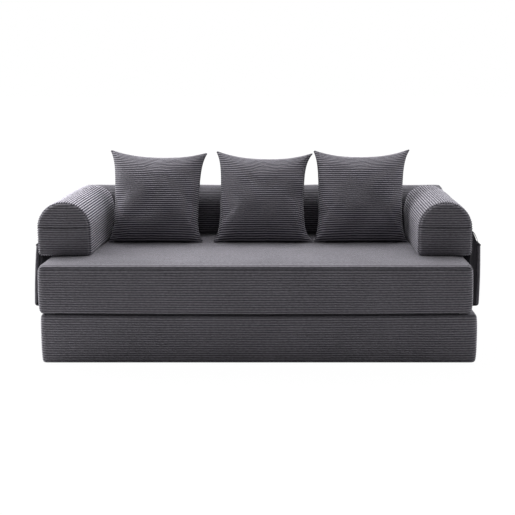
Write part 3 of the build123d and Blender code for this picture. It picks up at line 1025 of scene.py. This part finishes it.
def cover_bolster(name, outline, length, slit, seed, panels, looks, matrix, lean=None):
    """Wraps a bolster and closes its ends. Each panel has its name, its lowest and highest place,
    its seam's height, whether it is at the far end, and the CAD node that it stands for."""
    pieces = [bolster_wrap(f"{name}_wrap", outline, length, slit, seed)]
    for k, (label, low, high, seam, far, _) in enumerate(panels, 1):
        pieces.append(end_panel(f"{name}_{label}", outline, low, high, seam, seed + k, far))
        if far:
            pieces[-1].data.transform(Matrix.Translation((0, length, 0)))
    stands_for = [("cover", "foam_round", "foam_block"), *[panel[-1] for panel in panels]]
    for k, (piece, nodes) in enumerate(zip(pieces, stands_for)):
        if lean:
            move_points(piece, lean)
        piece.data.transform(matrix)
        wales(piece, "sofa_corduroy", seed + len(pieces) + k, **(LOW_WALES if k else looks))
        dress(piece, "sofa_corduroy", name, *[f"{name}_{node}" for node in nodes])


class SOFABED_OT_bolsters(bpy.types.Operator):
    """Covers the back bolster and both arm bolsters, with their end panels and seams"""
    bl_idname = "sofabed.bolsters"
    bl_label = "Bolsters"

    def execute(self, context):
        low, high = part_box("back_bolster_cover")
        ends_low, ends_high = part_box("back_bolster_end_panels")
        tape_low, tape_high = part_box("back_bolster_zip")
        width, height = high.y - low.y, high.z - low.z
        slit = ((width / 2, (tape_low.z + tape_high.z) / 2 - low.z),
                ends_high.x - tape_high.x + TAPE_END, ends_high.x - tape_low.x - TAPE_END)
        panels = (("end_right", 0, TOP, NO_SEAM, False, ("end_panels",)),
                  ("end_left", 0, TOP, NO_SEAM, True, ()))
        # Turned so that +Y of the bolster runs along -X of the frame
        turn = Matrix.Translation((ends_high.x, (low.y + high.y) / 2, low.z)) @ Matrix.Rotation(
            QUARTER, 4, "Z")
        cover_bolster("back_bolster", bolster_outline(width, height, 0.014),
                      ends_high.x - ends_low.x, slit, 31, panels, BACK_WALES, turn)
        self.cover_arm("left", 50)
        self.cover_arm("right", 70)
        return {"FINISHED"}

    def cover_arm(self, side, seed):
        """Covers one arm, whose front panel has a seam across it."""
        settings = sizes().bolster
        low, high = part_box(f"{side}_arm_cover")
        tape_low, tape_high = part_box(f"{side}_arm_zip")
        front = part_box(f"{side}_arm_front_panel_lower")[0].y - settings.forward
        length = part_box(f"{side}_arm_rear_panel")[1].y - front
        width = high.x - low.x + settings.fuller * ARM_FULLER[side]
        height = high.z - low.z + 0.003
        seam = high.z - low.z - (high.x - low.x) / 2 + 0.004
        middle = (low.x + high.x) / 2 - ARM_SHIFT[side]
        slit = (((tape_low.x + tape_high.x) / 2 - middle, 0),
                tape_low.y - front + TAPE_END, tape_high.y - front - TAPE_END)
        panels = (("front_upper", seam, TOP, seam, False, ("front_panel_upper",)),
                  ("front_lower", 0, seam, seam, False, ("front_panel_lower",)),
                  ("rear", 0, TOP, NO_SEAM, True, ("rear_panel",)))

        def lean(points):
            """The arm rises to its back, where its top leans over the back bolster."""
            share = points[:, 1] / length
            over = np.clip((points[:, 2] - height + width / 2 + 0.012) / (width / 2), 0, 0.995)
            reach = np.minimum((1 - np.sqrt(1 - over ** 2)) * width * 0.45, settings.reach)
            points[:, 2] += settings.rise * (share - 0.6) * np.clip(points[:, 2] / height, 0, 1)
            points[:, 1] += reach * np.maximum(share, 0) ** 4

        cover_bolster(f"{side}_arm", bolster_outline(width, height, 0.02), length, slit, seed,
                      panels, ARM_WALES[side], Matrix.Translation((middle, front, low.z)), lean)


# Pockets, hinge cloth and zips


def shell(name, outer, inner, across, relief, flat, flip=False):
    """A closed sheet from its outer and inner faces, given as grids of the same size."""
    whole = join(name, [
        hemmed(name, outer, inner, across, relief, flat, flip),
        grid_piece(f"{name}_back", inner, across, 0, flat, not flip)])
    weld(whole)
    return whole


def oval(side, out, wide, tall, count=12, square=4.0):
    """A ring of offsets, wide along side and tall along out, squarer where square is higher."""
    turn = np.linspace(0, 2 * math.pi, count, endpoint=False) + math.pi / count
    c, s = (np.sign(wave) * np.abs(wave) ** (2 / square) / 2
            for wave in (np.cos(turn), np.sin(turn)))
    return wide * c[:, None] * np.array(side) + tall * s[:, None] * np.array(out)


def tube(name, path, ring):
    """A closed bar: the ring of offsets carried along a path, with both ends capped."""
    count = len(ring)
    points = (np.array(path, float)[:, None] + ring[None]).reshape(-1, 3)
    faces = [
        (k + j, k + (j + 1) % count, k + count + (j + 1) % count, k + count + j)
        for k in range(0, len(points) - count, count) for j in range(count)]
    faces += [tuple(reversed(range(count))), tuple(range(len(points) - count, len(points)))]
    mesh = bpy.data.meshes.new(name)
    mesh.from_pydata(points.tolist(), [], faces)
    mesh.update()
    if sum(mesh.vertices[p.vertices[0]].co.dot(p.normal) * p.area for p in mesh.polygons) < 0:
        mesh.flip_normals()
    return new_object(name, mesh)


def rods(name, first, last, direction, pitch, length, radius):
    """A row of thin rods from first to last, each lying along direction."""
    piece = new_object(name, bpy.data.meshes.new(name))
    run_nodes(piece, KIT["rods"], {
        "Start": tuple(first), "End": tuple(last), "Pitch": pitch, "Length": length,
        "Radius": radius, "Turn": tuple(Vector(direction).to_track_quat("Z", "Y").to_euler()),
        "Thread": KIT["materials"]["zip_tape"]})
    piece.data.shade_smooth()
    return piece


def stitches(name, first, last):
    """A row of stitches on a seam."""
    sewing = sizes().sewing
    return rods(name, first, last, Vector(last) - Vector(first), sewing.stitch,
                sewing.stitch * STITCH_SHARE, sewing.thread / 2)


def bellows(w, deepest=0.011):
    """How far a pocket's end is folded inwards, from the back sheet to the pouch."""
    return deepest * (1 - np.abs(2 * w - 1)) ** 0.8


def crest_line(w, top, mouth):
    """Height of a pocket's end, which falls from the back sheet's top to the pouch's mouth."""
    return top - (top - mouth) * w ** 2.4


class Pocket:
    """The bellows pocket of one arm. Depths are measured outwards from the arm's foam."""

    def __init__(self, side):
        self.side, self.sign = side, SIDES[side]
        self.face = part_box(f"{side}_arm_cover")[1 if self.sign > 0 else 0].x

    def at(self, depth, y, z):
        """Points in the frame."""
        return grid(self.face + self.sign * depth, y, z)

    def dress(self, piece, body, node=None, slot="pocket_corduroy"):
        """Gives a finished piece its body on this side, and hides its CAD node."""
        nodes = [f"{self.side}_pocket_{node}"] if node else []
        dress(piece, slot, f"{self.side}_{body}", *nodes)

    def sew(self):
        """Makes every piece of the pocket."""
        low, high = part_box(f"{self.side}_pocket_back")
        pouch_low, pouch_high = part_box(f"{self.side}_pocket_pouch")
        low.z += FOOT_LIFT
        pouch_low.z += FOOT_LIFT
        pouch_high.z -= MOUTH_LIFT
        self.heading()
        self.back(low, high)
        self.pouch(pouch_low, pouch_high, high.z)

    def upright(self, name, depths, low, high, seed, wave):
        """An upright sheet with upright wales, hanging from its top edge."""
        pitch = sizes().cloth.pitch
        wide, tall = high.y - low.y, high.z - low.z
        count = round(wide / pitch)
        y = np.linspace(low.y, high.y, count * WALE_STEPS + 1)
        z = np.linspace(low.z, high.z, max(4, round(tall / 0.01)) + 1)[:, None]
        hang = (high.z - z) / tall
        sway = wave * hang * (0.5 + 0.5 * np.sin(y * 23 + seed)) + 0.6 * wave * hang ** 2
        outer, inner = (self.at(depth + sway, y, z) for depth in depths)
        edge = np.minimum(np.minimum(y - low.y, high.y - y), np.minimum(z - low.z, high.z - z))
        piece = shell(name, outer, inner, (y - low.y) * count * pitch / wide,
                      ramp(edge, 0.001, 0.003), grid(z, y), self.sign < 0)
        wales(piece, "pocket_corduroy", seed, Depth=0.0016, Crest=0.0003)
        return piece

    def heading(self):
        """The strip that is sewn to the arm."""
        low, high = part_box(f"{self.side}_pocket_heading")
        name = f"{self.side}_pocket_heading_cloth"
        hem = Vector((0, 0, 0.0005))
        rows = [stitches(f"{name}_{k}", *[self.at(HEADING_STITCHES, y, z)
                                          for y in (low.y + 0.004, high.y - 0.004)])
                for k, z in enumerate((low.z + 0.006, high.z - 0.005))]
        piece = join(name, [self.upright(name, HEADING_FACES, low + hem, high, 3, 0.0), *rows])
        self.dress(piece, "arm", "heading")

    def back(self, low, high):
        """The sheet that hangs from the heading."""
        name = f"{self.side}_pocket_back_cloth"
        piece = self.upright(name, BACK_FACES, low, high, 5, 0.002)
        self.dress(piece, "pocket", "back")

    def profile(self, foot, mouth):
        """The pouch's side line from the back sheet under and up to the mouth."""
        mouth_depth, foot_depth = POUCH_DEPTHS[self.side]
        radius, slack, bow = 0.013, 0.003, 0.0025
        level = foot + 0.001 + radius
        turn = np.linspace(-QUARTER, 0, 9)
        base = np.linspace(-0.001, foot_depth - radius, 6)[:-1]
        t = np.linspace(0, 1, 28)[1:]
        return np.concatenate([
            grid(base, foot + slack - slack * np.sin(math.pi * base / foot_depth)),
            grid(foot_depth - radius + radius * np.cos(turn), level + radius * np.sin(turn)),
            grid(foot_depth + (mouth_depth - foot_depth) * t + bow * np.sin(math.pi * t),
                 level + (mouth - level) * t)])

    def pouch(self, low, high, top):
        """The pouch's panel, its folded ends and the tape that binds its mouth."""
        pitch = sizes().cloth.pitch
        line = self.profile(low.z, high.z)
        normal, run = line_normals(line), run_along(line)
        wide = high.y - low.y
        count = round(wide / pitch)
        y = np.linspace(low.y, high.y, count * WALE_STEPS + 1)
        edge = np.minimum(y - low.y, high.y - y)
        puffed, thin, filled = 0.003, 0.002, 0.0125
        puff = puffed * ramp(edge, 0, 0.05) ** 0.5 * ramp(run, 0.02, 0.05)[:, None]
        thick = thin + filled * ramp(run, 0.03, 0.03)[:, None]

        def face(shift, y):
            return self.at(POUCH_ROOT + line[:, :1] + normal[:, :1] * shift, y,
                           line[:, 1:] + normal[:, 1:] * shift)

        name = f"{self.side}_pouch_panel"
        panel = shell(
            name, face(puff - drop_at(edge, 0.005), y),
            face(puff - thick, np.clip(y, low.y + 0.002, high.y - 0.002)),
            pitch * ((y - low.y) * (count - 1) / wide + 0.5),
            ramp(edge, 0.002, 0.003) * ramp(run[-1] - run, 0, 0.006)[:, None],
            grid(run[:, None], y), self.sign < 0)
        # Shading 0.5 paints the pouch's grooves and edges with lighter painted shade.
        wales(panel, "pocket_corduroy", 7, Depth=0.002, Crest=0.0005, Shading=0.5)
        self.dress(panel, "pocket", "pouch")
        ends = ((low.y + POUCH_END, 1), (high.y - POUCH_END, -1))
        for k, end in enumerate(ends):
            piece = self.gusset(f"{self.side}_gusset_{k}", line, low.z, high.z, top, *end)
            self.dress(piece, "pocket", slot="hinge_cloth")
        tapes = [self.end_tape(f"{self.side}_binding_{k}", high.z, top, *end)
                 for k, end in enumerate(ends)]
        self.binding(tapes, low, high)

    def gusset(self, name, line, foot, mouth, top, end, inward):
        """One end of the pouch, folded inwards like a bellows."""
        w = np.linspace(0, 1, 13)
        t = np.linspace(0, 1, 40)[:, None]
        crest = crest_line(w, top - 0.001, mouth - 0.002)
        z = foot + 0.004 + (crest - foot - 0.004) * t
        reach = np.interp(np.minimum(z, mouth - 0.001), line[10:, 1], line[10:, 0]) - 0.013
        fold = bellows(w) * ramp(t, 0, 0.2) * (1 - 0.3 * t)
        outer = self.at(POUCH_ROOT + w * reach, end + inward * fold, z)
        piece = shell(name, outer, outer + np.array([0, inward * 0.0012, 0]), np.zeros(z.shape),
                      0.0, grid(w * 0.05, t * (top - foot)), (self.sign < 0) != (inward < 0))
        piece.data.shade_smooth()
        paint(piece, "hinge_cloth")
        return piece

    def end_tape(self, name, mouth, top, end, inward):
        """The tape over the top edge of one folded end."""
        w = np.linspace(0, 1, 13)
        reach = POUCH_DEPTHS[self.side][0] - 0.008
        path = self.at(POUCH_ROOT + 0.001 + reach * w, end + inward * bellows(w) * 0.7,
                       crest_line(w, top - 0.001, mouth))
        return tube(name, path, oval((0, 1, 0), (0, 0, 1), 0.0032, 0.006, 10, 3.0))

    def binding(self, tapes, low, high):
        """Binds the panel's mouth, and sews the tape."""
        depth = POUCH_ROOT + POUCH_DEPTHS[self.side][0] - 0.007
        ends = [self.at(depth, y, high.z) for y in (low.y + 0.001, high.y - 0.001)]
        name = f"{self.side}_pocket_binding_tape"
        mouth = tube(name, ends, oval((1, 0, 0), (0, 0, 1), 0.017, 0.011, square=3.0))
        whole = join(name, [*tapes, mouth])
        paint(whole, "hinge_cloth")
        whole.data.shade_smooth()
        row = stitches(f"{name}_row", *[self.at(depth + 0.0087, y, high.z - 0.003)
                                        for y in (low.y + 0.006, high.y - 0.006)])
        self.dress(join(name, [whole, row]), "pocket", "binding", "hinge_cloth")


class SOFABED_OT_pockets(bpy.types.Operator):
    """Hangs a bellows pocket from a sewn heading on the outer side of each arm"""
    bl_idname = "sofabed.pockets"
    bl_label = "Side pockets"

    def execute(self, context):
        for side in SIDES:
            Pocket(side).sew()
        return {"FINISHED"}


class SOFABED_OT_hinge(bpy.types.Operator):
    """Folds the cloth hinge round the line that the base slab turns about"""
    bl_idname = "sofabed.hinge"
    bl_label = "Hinge cloth"

    def execute(self, context):
        low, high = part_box("hinge_leaf_lower")
        over_low, over_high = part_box("hinge_leaf_upper")
        level, front = (high.z + over_low.z) / 2, low.y
        half = (over_high.z - low.z) / 2 - 0.0001
        turn = np.linspace(-QUARTER, -3 * QUARTER, 13)
        leaf = np.linspace(high.y, front + half + 0.001, 9)
        line = np.concatenate([
            grid(leaf, level - half),
            grid(front + half + half * np.cos(turn), level + half * np.sin(turn)),
            grid(leaf[::-1], level + half)])
        inner = line + line_normals(line) * 0.0006
        x = np.linspace(low.x, high.x, 130)
        outer, inner = (grid(x, face[:, :1], face[:, 1:]) for face in (line, inner))
        piece = shell("hinge_tape", outer, inner, np.zeros(outer.shape[:2]), 0.0, outer[..., :2])
        piece.data.shade_smooth()
        paint(piece, "hinge_cloth")
        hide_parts("hinge_leaf_lower", "hinge_leaf_upper")
        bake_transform(piece)
        return {"FINISHED"}


def lay_zip(name, body, first, last, out, depth, matrix=None):
    """One zip between two points of the cover's face, with its tape lying depth under it."""
    way = (last - first).normalized()
    side = out.cross(way)
    label = f"{name}_zip_woven"

    def row(across, level, longer=0.0):
        """Both ends of a line along the zip."""
        shift = side * across + out * level
        return first + shift - way * longer, last + shift + way * longer

    tape, core, stop = (0.0104, 0.0007), (0.0024, depth + 0.0006), (0.0042, 0.003)
    tape_apart, stitch_apart, stop_way = 0.0057, 0.0098, way * 0.0028
    bars = [(row(tape_apart * k, -depth - 0.0003, TAPE_END), tape) for k in (-1, 1)]
    bars.append((row(0.0, (0.0004 - depth) / 2), core))
    for k, spot in zip((1, -1), row(0.0, 0.0, -0.0005)):
        bars.append(((spot, spot + stop_way * k), stop))
    parts = [tube(f"{label}_{k}", path, oval(side, out, *size))
             for k, (path, size) in enumerate(bars)]
    for part in parts:
        paint(part, "zip_tape")
    # Each turn of the coil lies a little askew
    skew, turn_length, turn_radius = (side + way * 0.28).normalized(), 0.0041, 0.00062
    parts.append(rods(f"{label}_coil", *row(0.0, 0.00025, -0.004), skew, sizes().sewing.coil,
                      turn_length, turn_radius))
    if depth:
        parts += [stitches(f"{label}_stitches_{k}", *row(stitch_apart * k, 0.0006))
                  for k in (-1, 1)]
    whole = join(label, parts)
    if matrix:
        whole.data.transform(matrix)
    dress(whole, "zip_tape", body, f"{name}_zip")


class SOFABED_OT_zips(bpy.types.Operator):
    """Lays each zip's tape, coil, end stops and stitches in its slit"""
    bl_idname = "sofabed.zips"
    bl_label = "Zips"

    def execute(self, context):
        rear, under = Vector((0, 1, 0)), Vector((0, 0, -1))
        for name, body in (("seat", "seat_slab"), ("base", "base_slab"),
                           ("back_bolster", "back_bolster")):
            low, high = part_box(f"{name}_zip")
            y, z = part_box(f"{name}_cover")[1].y, (low.z + high.z) / 2
            ends = [Vector((x, y, z)) for x in (low.x + TAPE_END, high.x - TAPE_END)]
            lay_zip(name, body, *ends, rear, ZIP_DEPTH)
        for side in SIDES:
            low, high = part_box(f"{side}_arm_zip")
            x, z = (low.x + high.x) / 2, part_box(f"{side}_arm_cover")[0].z
            ends = [Vector((x, y, z)) for y in (low.y + TAPE_END, high.y - TAPE_END)]
            lay_zip(f"{side}_arm", f"{side}_arm", *ends, under, ZIP_DEPTH)
        for side in PILLOWS:
            low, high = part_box(f"{side}_pillow_zip")
            half = (high.x - low.x) / 2 - TAPE_END
            ends = [Vector((x, 0, 0.0033)) for x in (-half, half)]
            lay_zip(f"{side}_pillow", f"{side}_pillow", *ends, under, 0.0, pillow_frame(side))
        return {"FINISHED"}


# Pillows


def pillow_frame(side):
    """The matrix from a pillow's own plane, with its foot's middle at the origin, to the frame."""
    low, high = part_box(f"{side}_pillow_cover")
    place = ((low.x + high.x) / 2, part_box("back_bolster_cover")[0].y - PILLOW_STAND,
             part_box("seat_cover")[1].z + PILLOW_LIFT)
    return Matrix.Translation(place) @ Matrix.Rotation(-LEAN, 4, "X")


def drawn_in(t, near, far):
    """How an edge is drawn in between its corners, quicker where near and far are smaller."""
    pull = (1 - np.exp(-t / near)) * (1 - np.exp(-(1 - t) / far))
    return pull / pull.max()


def pillow_edges(side, count):
    """The seam's left, right, foot and top edges as rows of points."""
    p0, p1, p2, p3 = (np.array(corner) for corner in PILLOW_CORNERS[side])
    left, right, top, foot = PILLOW_PULLS[side]
    t = np.linspace(0, 1, count)
    upright, level = drawn_in(t, 0.085, 0.12), 1 - np.abs(2 * t - 1) ** 2.3
    return [start + (end - start) * t[:, None] + grid(inward, up) for start, end, inward, up in (
        (p0, p3, left * upright, 0), (p1, p2, -right * upright, 0),
        (p0, p1, 0, foot * drawn_in(t, 0.05, 0.05)), (p3, p2, 0, -top * level))]


def fill_between(left, right, foot, top):
    """A smooth grid of values that meets four rows of edge values."""
    u = np.linspace(0, 1, len(left))[None, :, None]
    v = np.swapaxes(u, 0, 1)
    corners = (1 - v) * ((1 - u) * foot[0] + u * foot[-1]) + v * ((1 - u) * top[0] + u * top[-1])
    return ((1 - v) * foot[None] + v * top[None] + (1 - u) * left[:, None] + u * right[:, None]
            - corners)


def spline_rows(values, where):
    """A smooth curve through rows of values at whole numbers, read at where."""
    last = len(values) - 1
    base = np.clip(np.floor(where).astype(int), 0, last - 1)
    t = (where - base)[:, None, None]
    p0, p1, p2, p3 = (values[np.clip(base + k, 0, last)] for k in (-1, 0, 1, 2))
    return 0.5 * (2 * p1 + (p2 - p0) * t + (2 * p0 - 5 * p1 + 4 * p2 - p3) * t ** 2
                  + (3 * p1 - p0 - 3 * p2 + p3) * t ** 3)


def swell_pillow(side, seed):
    """Simulates one pillow: two panels sewn at their edges and swollen by their filling."""
    settings = sizes().pillow
    count = settings.cells + 1
    edges = pillow_edges(side, count)
    plan = fill_between(*edges)
    u, v = np.meshgrid(np.linspace(-1, 1, count), np.linspace(-1, 1, count))
    dome = np.clip((1 - np.abs(u) ** 2.6) * (1 - np.abs(v) ** 2.6), 0, 1) ** 0.6
    dice = np.random.default_rng(seed)
    rough = sum(
        np.sin(dice.uniform(3, 9) * u + dice.uniform(0, 6))
        * np.sin(dice.uniform(3, 9) * v + dice.uniform(0, 6)) for _ in range(6))
    start = 0.9
    puff = settings.thick * 0.5 * start * dome * (1 + 0.02 * rough)
    front = grid(plan[..., 0], -puff, plan[..., 1]).reshape(-1, 3)
    border = ((np.abs(u) == 1) | (np.abs(v) == 1)).reshape(-1)
    second = np.where(border, np.arange(count ** 2), count ** 2 + np.cumsum(~border) - 1)
    points = np.concatenate([front, (front * np.array([1, -1, 1]))[~border]])
    quads = quad_grid(count, count)
    quads = np.concatenate([quads, second[quads][:, ::-1]])
    points = simulate(f"{side}_pillow_shell", points, quads)
    faces = [points[rows].reshape(count, count, 3) for rows in (np.arange(count ** 2), second)]
    deep = faces[1][..., 1].max() - faces[0][..., 1].min()
    for face in faces:
        face[..., 1] *= settings.thick / deep
    front = faces[0]
    now = (front[:, 0], front[:, -1], front[0], front[-1])
    move = fill_between(*[(grid(edge[:, 0], 0, edge[:, 1]) - row) * np.array([1, 0.7, 1])
                          for edge, row in zip(edges, now)])
    for face, sign in zip(faces, (-1, 1)):
        face += move
        face[..., 1] += sign * corner_folds(face, dice)
    return faces


def corner_folds(face, dice):
    """Small folds that fan out from the two lower corners."""
    total = np.zeros(face.shape[:2])
    for tip in (face[0, 0], face[0, -1]):
        across, up = face[..., 0] - tip[0], face[..., 2] - tip[2]
        far = np.hypot(across, up)
        fan = np.sin(np.arctan2(up, np.abs(across)) * dice.uniform(8, 11) + dice.uniform(0, 6))
        total += 0.005 * fan * np.exp(-far / 0.05) * ramp(far, 0, 0.03)
    side = np.linspace(0, 1, face.shape[0])
    side = np.minimum(side, side[::-1])
    return total * ramp(np.minimum(side, side[:, None]), 0, 0.04)


def blunt_corners(face):
    """Cuts the tips of a pillow's corners off square, by a few millimetres."""
    middle = face.mean(axis=(0, 1))
    for row, col in ((0, 0), (0, -1), (-1, 0), (-1, -1)):
        tip = face[row, col].copy()
        way = (middle - tip) * np.array([1, 0, 1])
        way /= np.linalg.norm(way)
        near = np.linalg.norm(face - tip, axis=2) < 0.03
        face += way * (np.maximum(0.011 - (face - tip) @ way, 0) * near)[..., None]


def simulate(name, start, faces):
    """Runs the Cloth simulation on a closed shell, and scales it so that no point goes too far."""
    pillow, scene = sizes().pillow, bpy.context.scene
    mesh = bpy.data.meshes.new(name)
    mesh.from_pydata(start.tolist(), [], faces.tolist())
    body = new_object(name, mesh)
    cloth = body.modifiers.new("filling", "CLOTH")
    for label, value in {
            "quality": 6, "mass": 0.25, "tension_stiffness": 30, "compression_stiffness": 30,
            "shear_stiffness": 10, "bending_stiffness": 1.5, "use_pressure": True,
            "uniform_pressure_force": pillow.pressure}.items():
        setattr(cloth.settings, label, value)
    cloth.settings.effector_weights.gravity = 0
    cloth.point_cache.frame_start = 1
    cloth.point_cache.frame_end = pillow.frames
    for step in range(1, pillow.frames + 1):
        scene.frame_set(step)
    keep_result(body)
    scene.frame_set(1)
    end = np.empty(len(body.data.vertices) * 3, np.float32)
    body.data.vertices.foreach_get("co", end)
    bpy.data.objects.remove(body)
    move = end.reshape(-1, 3) - start
    return start + move * min(1, PILLOW_TRAVEL / np.linalg.norm(move, axis=1).max())


def keep_out(points, axis, middle, spring, radius, way):
    """Moves points out of a bolster whose section is round over spring and upright under it."""
    away = np.stack([points[:, axis] - middle, points[:, 2] - spring], -1)
    far = np.linalg.norm(away, axis=1)
    high = (away[:, 1] > 0) & (far < radius)
    points[high, axis] = middle + away[high, 0] / far[high] * radius
    points[high, 2] = spring + away[high, 1] / far[high] * radius
    low = (away[:, 1] <= 0) & (away[:, 0] * way < radius)
    points[low, axis] = middle + way * radius


def clear_neighbours(points):
    """Holds a pillow off the seat, the arms and the back bolster that it leans on."""
    low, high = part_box("back_bolster_cover")
    radius = (high.y - low.y) / 2
    round_gap, seat_gap = 0.003, 0.0018
    keep_out(points, 1, (low.y + high.y) / 2, high.z - radius, radius + round_gap, -1)
    for side, sign in SIDES.items():
        low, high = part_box(f"{side}_arm_cover")
        keep_out(points, 0, (low.x + high.x) / 2, high.z - radius, radius + round_gap, -sign)
    points[:, 2] = np.maximum(points[:, 2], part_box("seat_cover")[1].z + seat_gap)


class SOFABED_OT_pillows(bpy.types.Operator):
    """Simulates the three pillows and covers them in corduroy"""
    bl_idname = "sofabed.pillows"
    bl_label = "Pillows"

    def execute(self, context):
        for k, side in enumerate(PILLOWS):
            self.cover(side, swell_pillow(side, 5 + k), 90 + 5 * k)
        return {"FINISHED"}

    def cover(self, side, faces, seed):
        """Sews the two panels of one pillow together and raises their wales."""
        pitch = sizes().cloth.pitch
        cells = len(faces[0]) - 1
        count = round(PILLOW_SIDE / pitch)
        rows = np.linspace(0, cells, count * WALE_STEPS + 1)
        cols = np.linspace(0, cells, 109)
        u, v = cols[None, :] / cells, rows[:, None] / cells
        edge = np.minimum(np.minimum(u, 1 - u), np.minimum(v, 1 - v)) * PILLOW_SIDE
        parts = []
        for label, face, flip in (("front", faces[0], False), ("back", faces[1], True)):
            fine = np.swapaxes(spline_rows(face, rows), 0, 1)
            fine = np.swapaxes(spline_rows(fine, cols), 0, 1)
            blunt_corners(fine)
            parts.append(grid_piece(f"{side}_pillow_{label}", fine, v * count * pitch,
                                    ramp(edge, 0.0015, 0.005),
                                    grid(u * PILLOW_SIDE, v * PILLOW_SIDE), flip))
        whole = join(f"{side}_pillow_corduroy", parts)
        weld(whole, 0.00005)
        whole.data.transform(pillow_frame(side))
        move_points(whole, clear_neighbours)
        wales(whole, "pillow_corduroy", seed, **PILLOW_WALES)
        dress(whole, "pillow_corduroy", f"{side}_pillow", f"{side}_pillow_cover",
              f"{side}_pillow_filling")


# Stage and inner layers


class SOFABED_OT_stage(bpy.types.Operator):
    """Sets up the floor, the lights, the white backdrop and the camera"""
    bl_idname = "sofabed.stage"
    bl_label = "Stage"

    def execute(self, context):
        scene, stage = context.scene, sizes().stage
        scene.view_settings.view_transform = "Standard"
        self.floor()
        self.backdrop(scene, stage.sky)
        for name, layout in LIGHTS.items():
            self.lamp(name, *layout, getattr(stage, name))
        data = bpy.data.cameras.new("camera")
        data.lens, data.sensor_width = CAMERA_LENS, CAMERA_SENSOR
        data.shift_x, data.shift_y = CAMERA_SHIFT
        camera = scene.camera = new_object("camera", data)
        camera.location = CAMERA_PLACE
        camera.rotation_euler = (QUARTER - CAMERA_DIP, 0, 0)
        return {"FINISHED"}

    def floor(self):
        """A matt floor that the camera sees nearly white near the sofa and white further off."""
        mesh = bpy.data.meshes.new("floor")
        far = 30
        corners = [(-far, -far, 0), (far, -far, 0), (far, far, 0), (-far, far, 0)]
        mesh.from_pydata(corners, [], [(0, 1, 2, 3)])
        material = bpy.data.materials.new("floor_white")
        material.use_nodes = True
        tree = material.node_tree
        tree.nodes.clear()
        seen = add_node(tree, "ShaderNodeLightPath").outputs["Is Camera Ray"]
        matt = add_node(tree, "ShaderNodeBsdfDiffuse", {"Color": (0.7, 0.7, 0.7, 1)})
        glow = add_node(tree, "ShaderNodeEmission", {"Color": (1, 1, 1, 1), "Strength": 1.02})
        spot = add_node(tree, "ShaderNodeTexCoord").outputs["Object"]
        away = add_node(tree, "ShaderNodeVectorMath", {0: spot}, operation="LENGTH")
        plain = add_node(tree, "ShaderNodeMapRange",
                         {0: away.outputs["Value"], 1: 1.6, 2: 3.2, 3: 0.965, 4: 1.0})
        share = maths(tree, "MULTIPLY", seen, plain.outputs[0])
        mixed = add_node(tree, "ShaderNodeMixShader",
                         {0: share, 1: matt.outputs[0], 2: glow.outputs[0]})
        add_node(tree, "ShaderNodeOutputMaterial", {"Surface": mixed.outputs[0]})
        mesh.materials.append(material)
        new_object("floor", mesh)

    def backdrop(self, scene, strength):
        """Light from all round, which the camera sees as white."""
        world = scene.world = bpy.data.worlds.new("studio")
        world.use_nodes = True
        tree = world.node_tree
        tree.nodes.clear()
        seen = add_node(tree, "ShaderNodeLightPath").outputs["Is Camera Ray"]
        shown = maths(tree, "MULTIPLY_ADD", seen, 1 - strength, strength)
        sky = add_node(tree, "ShaderNodeBackground", {"Color": (1, 1, 1, 1), "Strength": shown})
        add_node(tree, "ShaderNodeOutputWorld", {"Surface": sky.outputs[0]})

    def lamp(self, name, place, aim, size, power):
        """A soft light that faces a height over the middle of the floor."""
        data = bpy.data.lights.new(name, "AREA")
        data.shape = "RECTANGLE"
        data.size, data.size_y = size
        data.energy = power
        lamp = new_object(name, data)
        lamp.location = place
        way = Vector((0, 0, aim)) - lamp.location
        lamp.rotation_euler = way.to_track_quat("-Z", "Y").to_euler()


class SOFABED_OT_layers(bpy.types.Operator):
    """Gives the CAD nodes that stay their foam, lining, tape and metal"""
    bl_idname = "sofabed.layers"
    bl_label = "Inner layers and fittings"

    def execute(self, context):
        for name, node in frame["nodes"].items():
            if not node.hide_render:
                paint(node, KIT["slots"][name])
        return {"FINISHED"}


class SOFABED_PT_sidebar(bpy.types.Panel):
    """Lists what makes the sofa bed, and its sizes"""
    bl_idname = "SOFABED_PT_sidebar"
    bl_label = "Sofa bed"
    bl_space_type = "VIEW_3D"
    bl_region_type = "UI"
    bl_category = "Sofa bed"

    def draw(self, context):
        for step in STEPS:
            self.layout.operator(f"sofabed.{step}")
        for group in SofaSettings.__annotations__:
            box = self.layout.box()
            box.label(text=group.capitalize())
            values = getattr(context.scene.sofa_bed, group)
            for name in type(values).__annotations__:
                box.prop(values, name)


CLASSES = (
    SofaClothSizes, SofaSlabSizes, SofaBolsterSizes, SofaPillowSizes, SofaSewingSizes,
    SofaStageSizes, SofaSettings, SOFABED_OT_slabs, SOFABED_OT_bolsters, SOFABED_OT_pockets,
    SOFABED_OT_hinge, SOFABED_OT_zips, SOFABED_OT_pillows, SOFABED_OT_layers, SOFABED_OT_stage,
    SOFABED_PT_sidebar,
)
STEPS = ("slabs", "bolsters", "pockets", "hinge", "zips", "pillows", "layers", "stage")


def register():
    for made in CLASSES:
        bpy.utils.register_class(made)
    bpy.types.Scene.sofa_bed = bpy.props.PointerProperty(type=SofaSettings)


def unregister():
    del bpy.types.Scene.sofa_bed
    for made in reversed(CLASSES):
        bpy.utils.unregister_class(made)


def main():
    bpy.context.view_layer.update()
    register()
    KIT["materials"] = make_materials()
    KIT["wales"] = wale_tree()
    KIT["rods"] = rod_tree()
    KIT["slots"] = {part["node"]: part["material_slot"] for part in frame["record"]["subparts"]}
    for step in STEPS:
        getattr(bpy.ops.sofabed, step)()


if __name__ == "__main__":
    main()
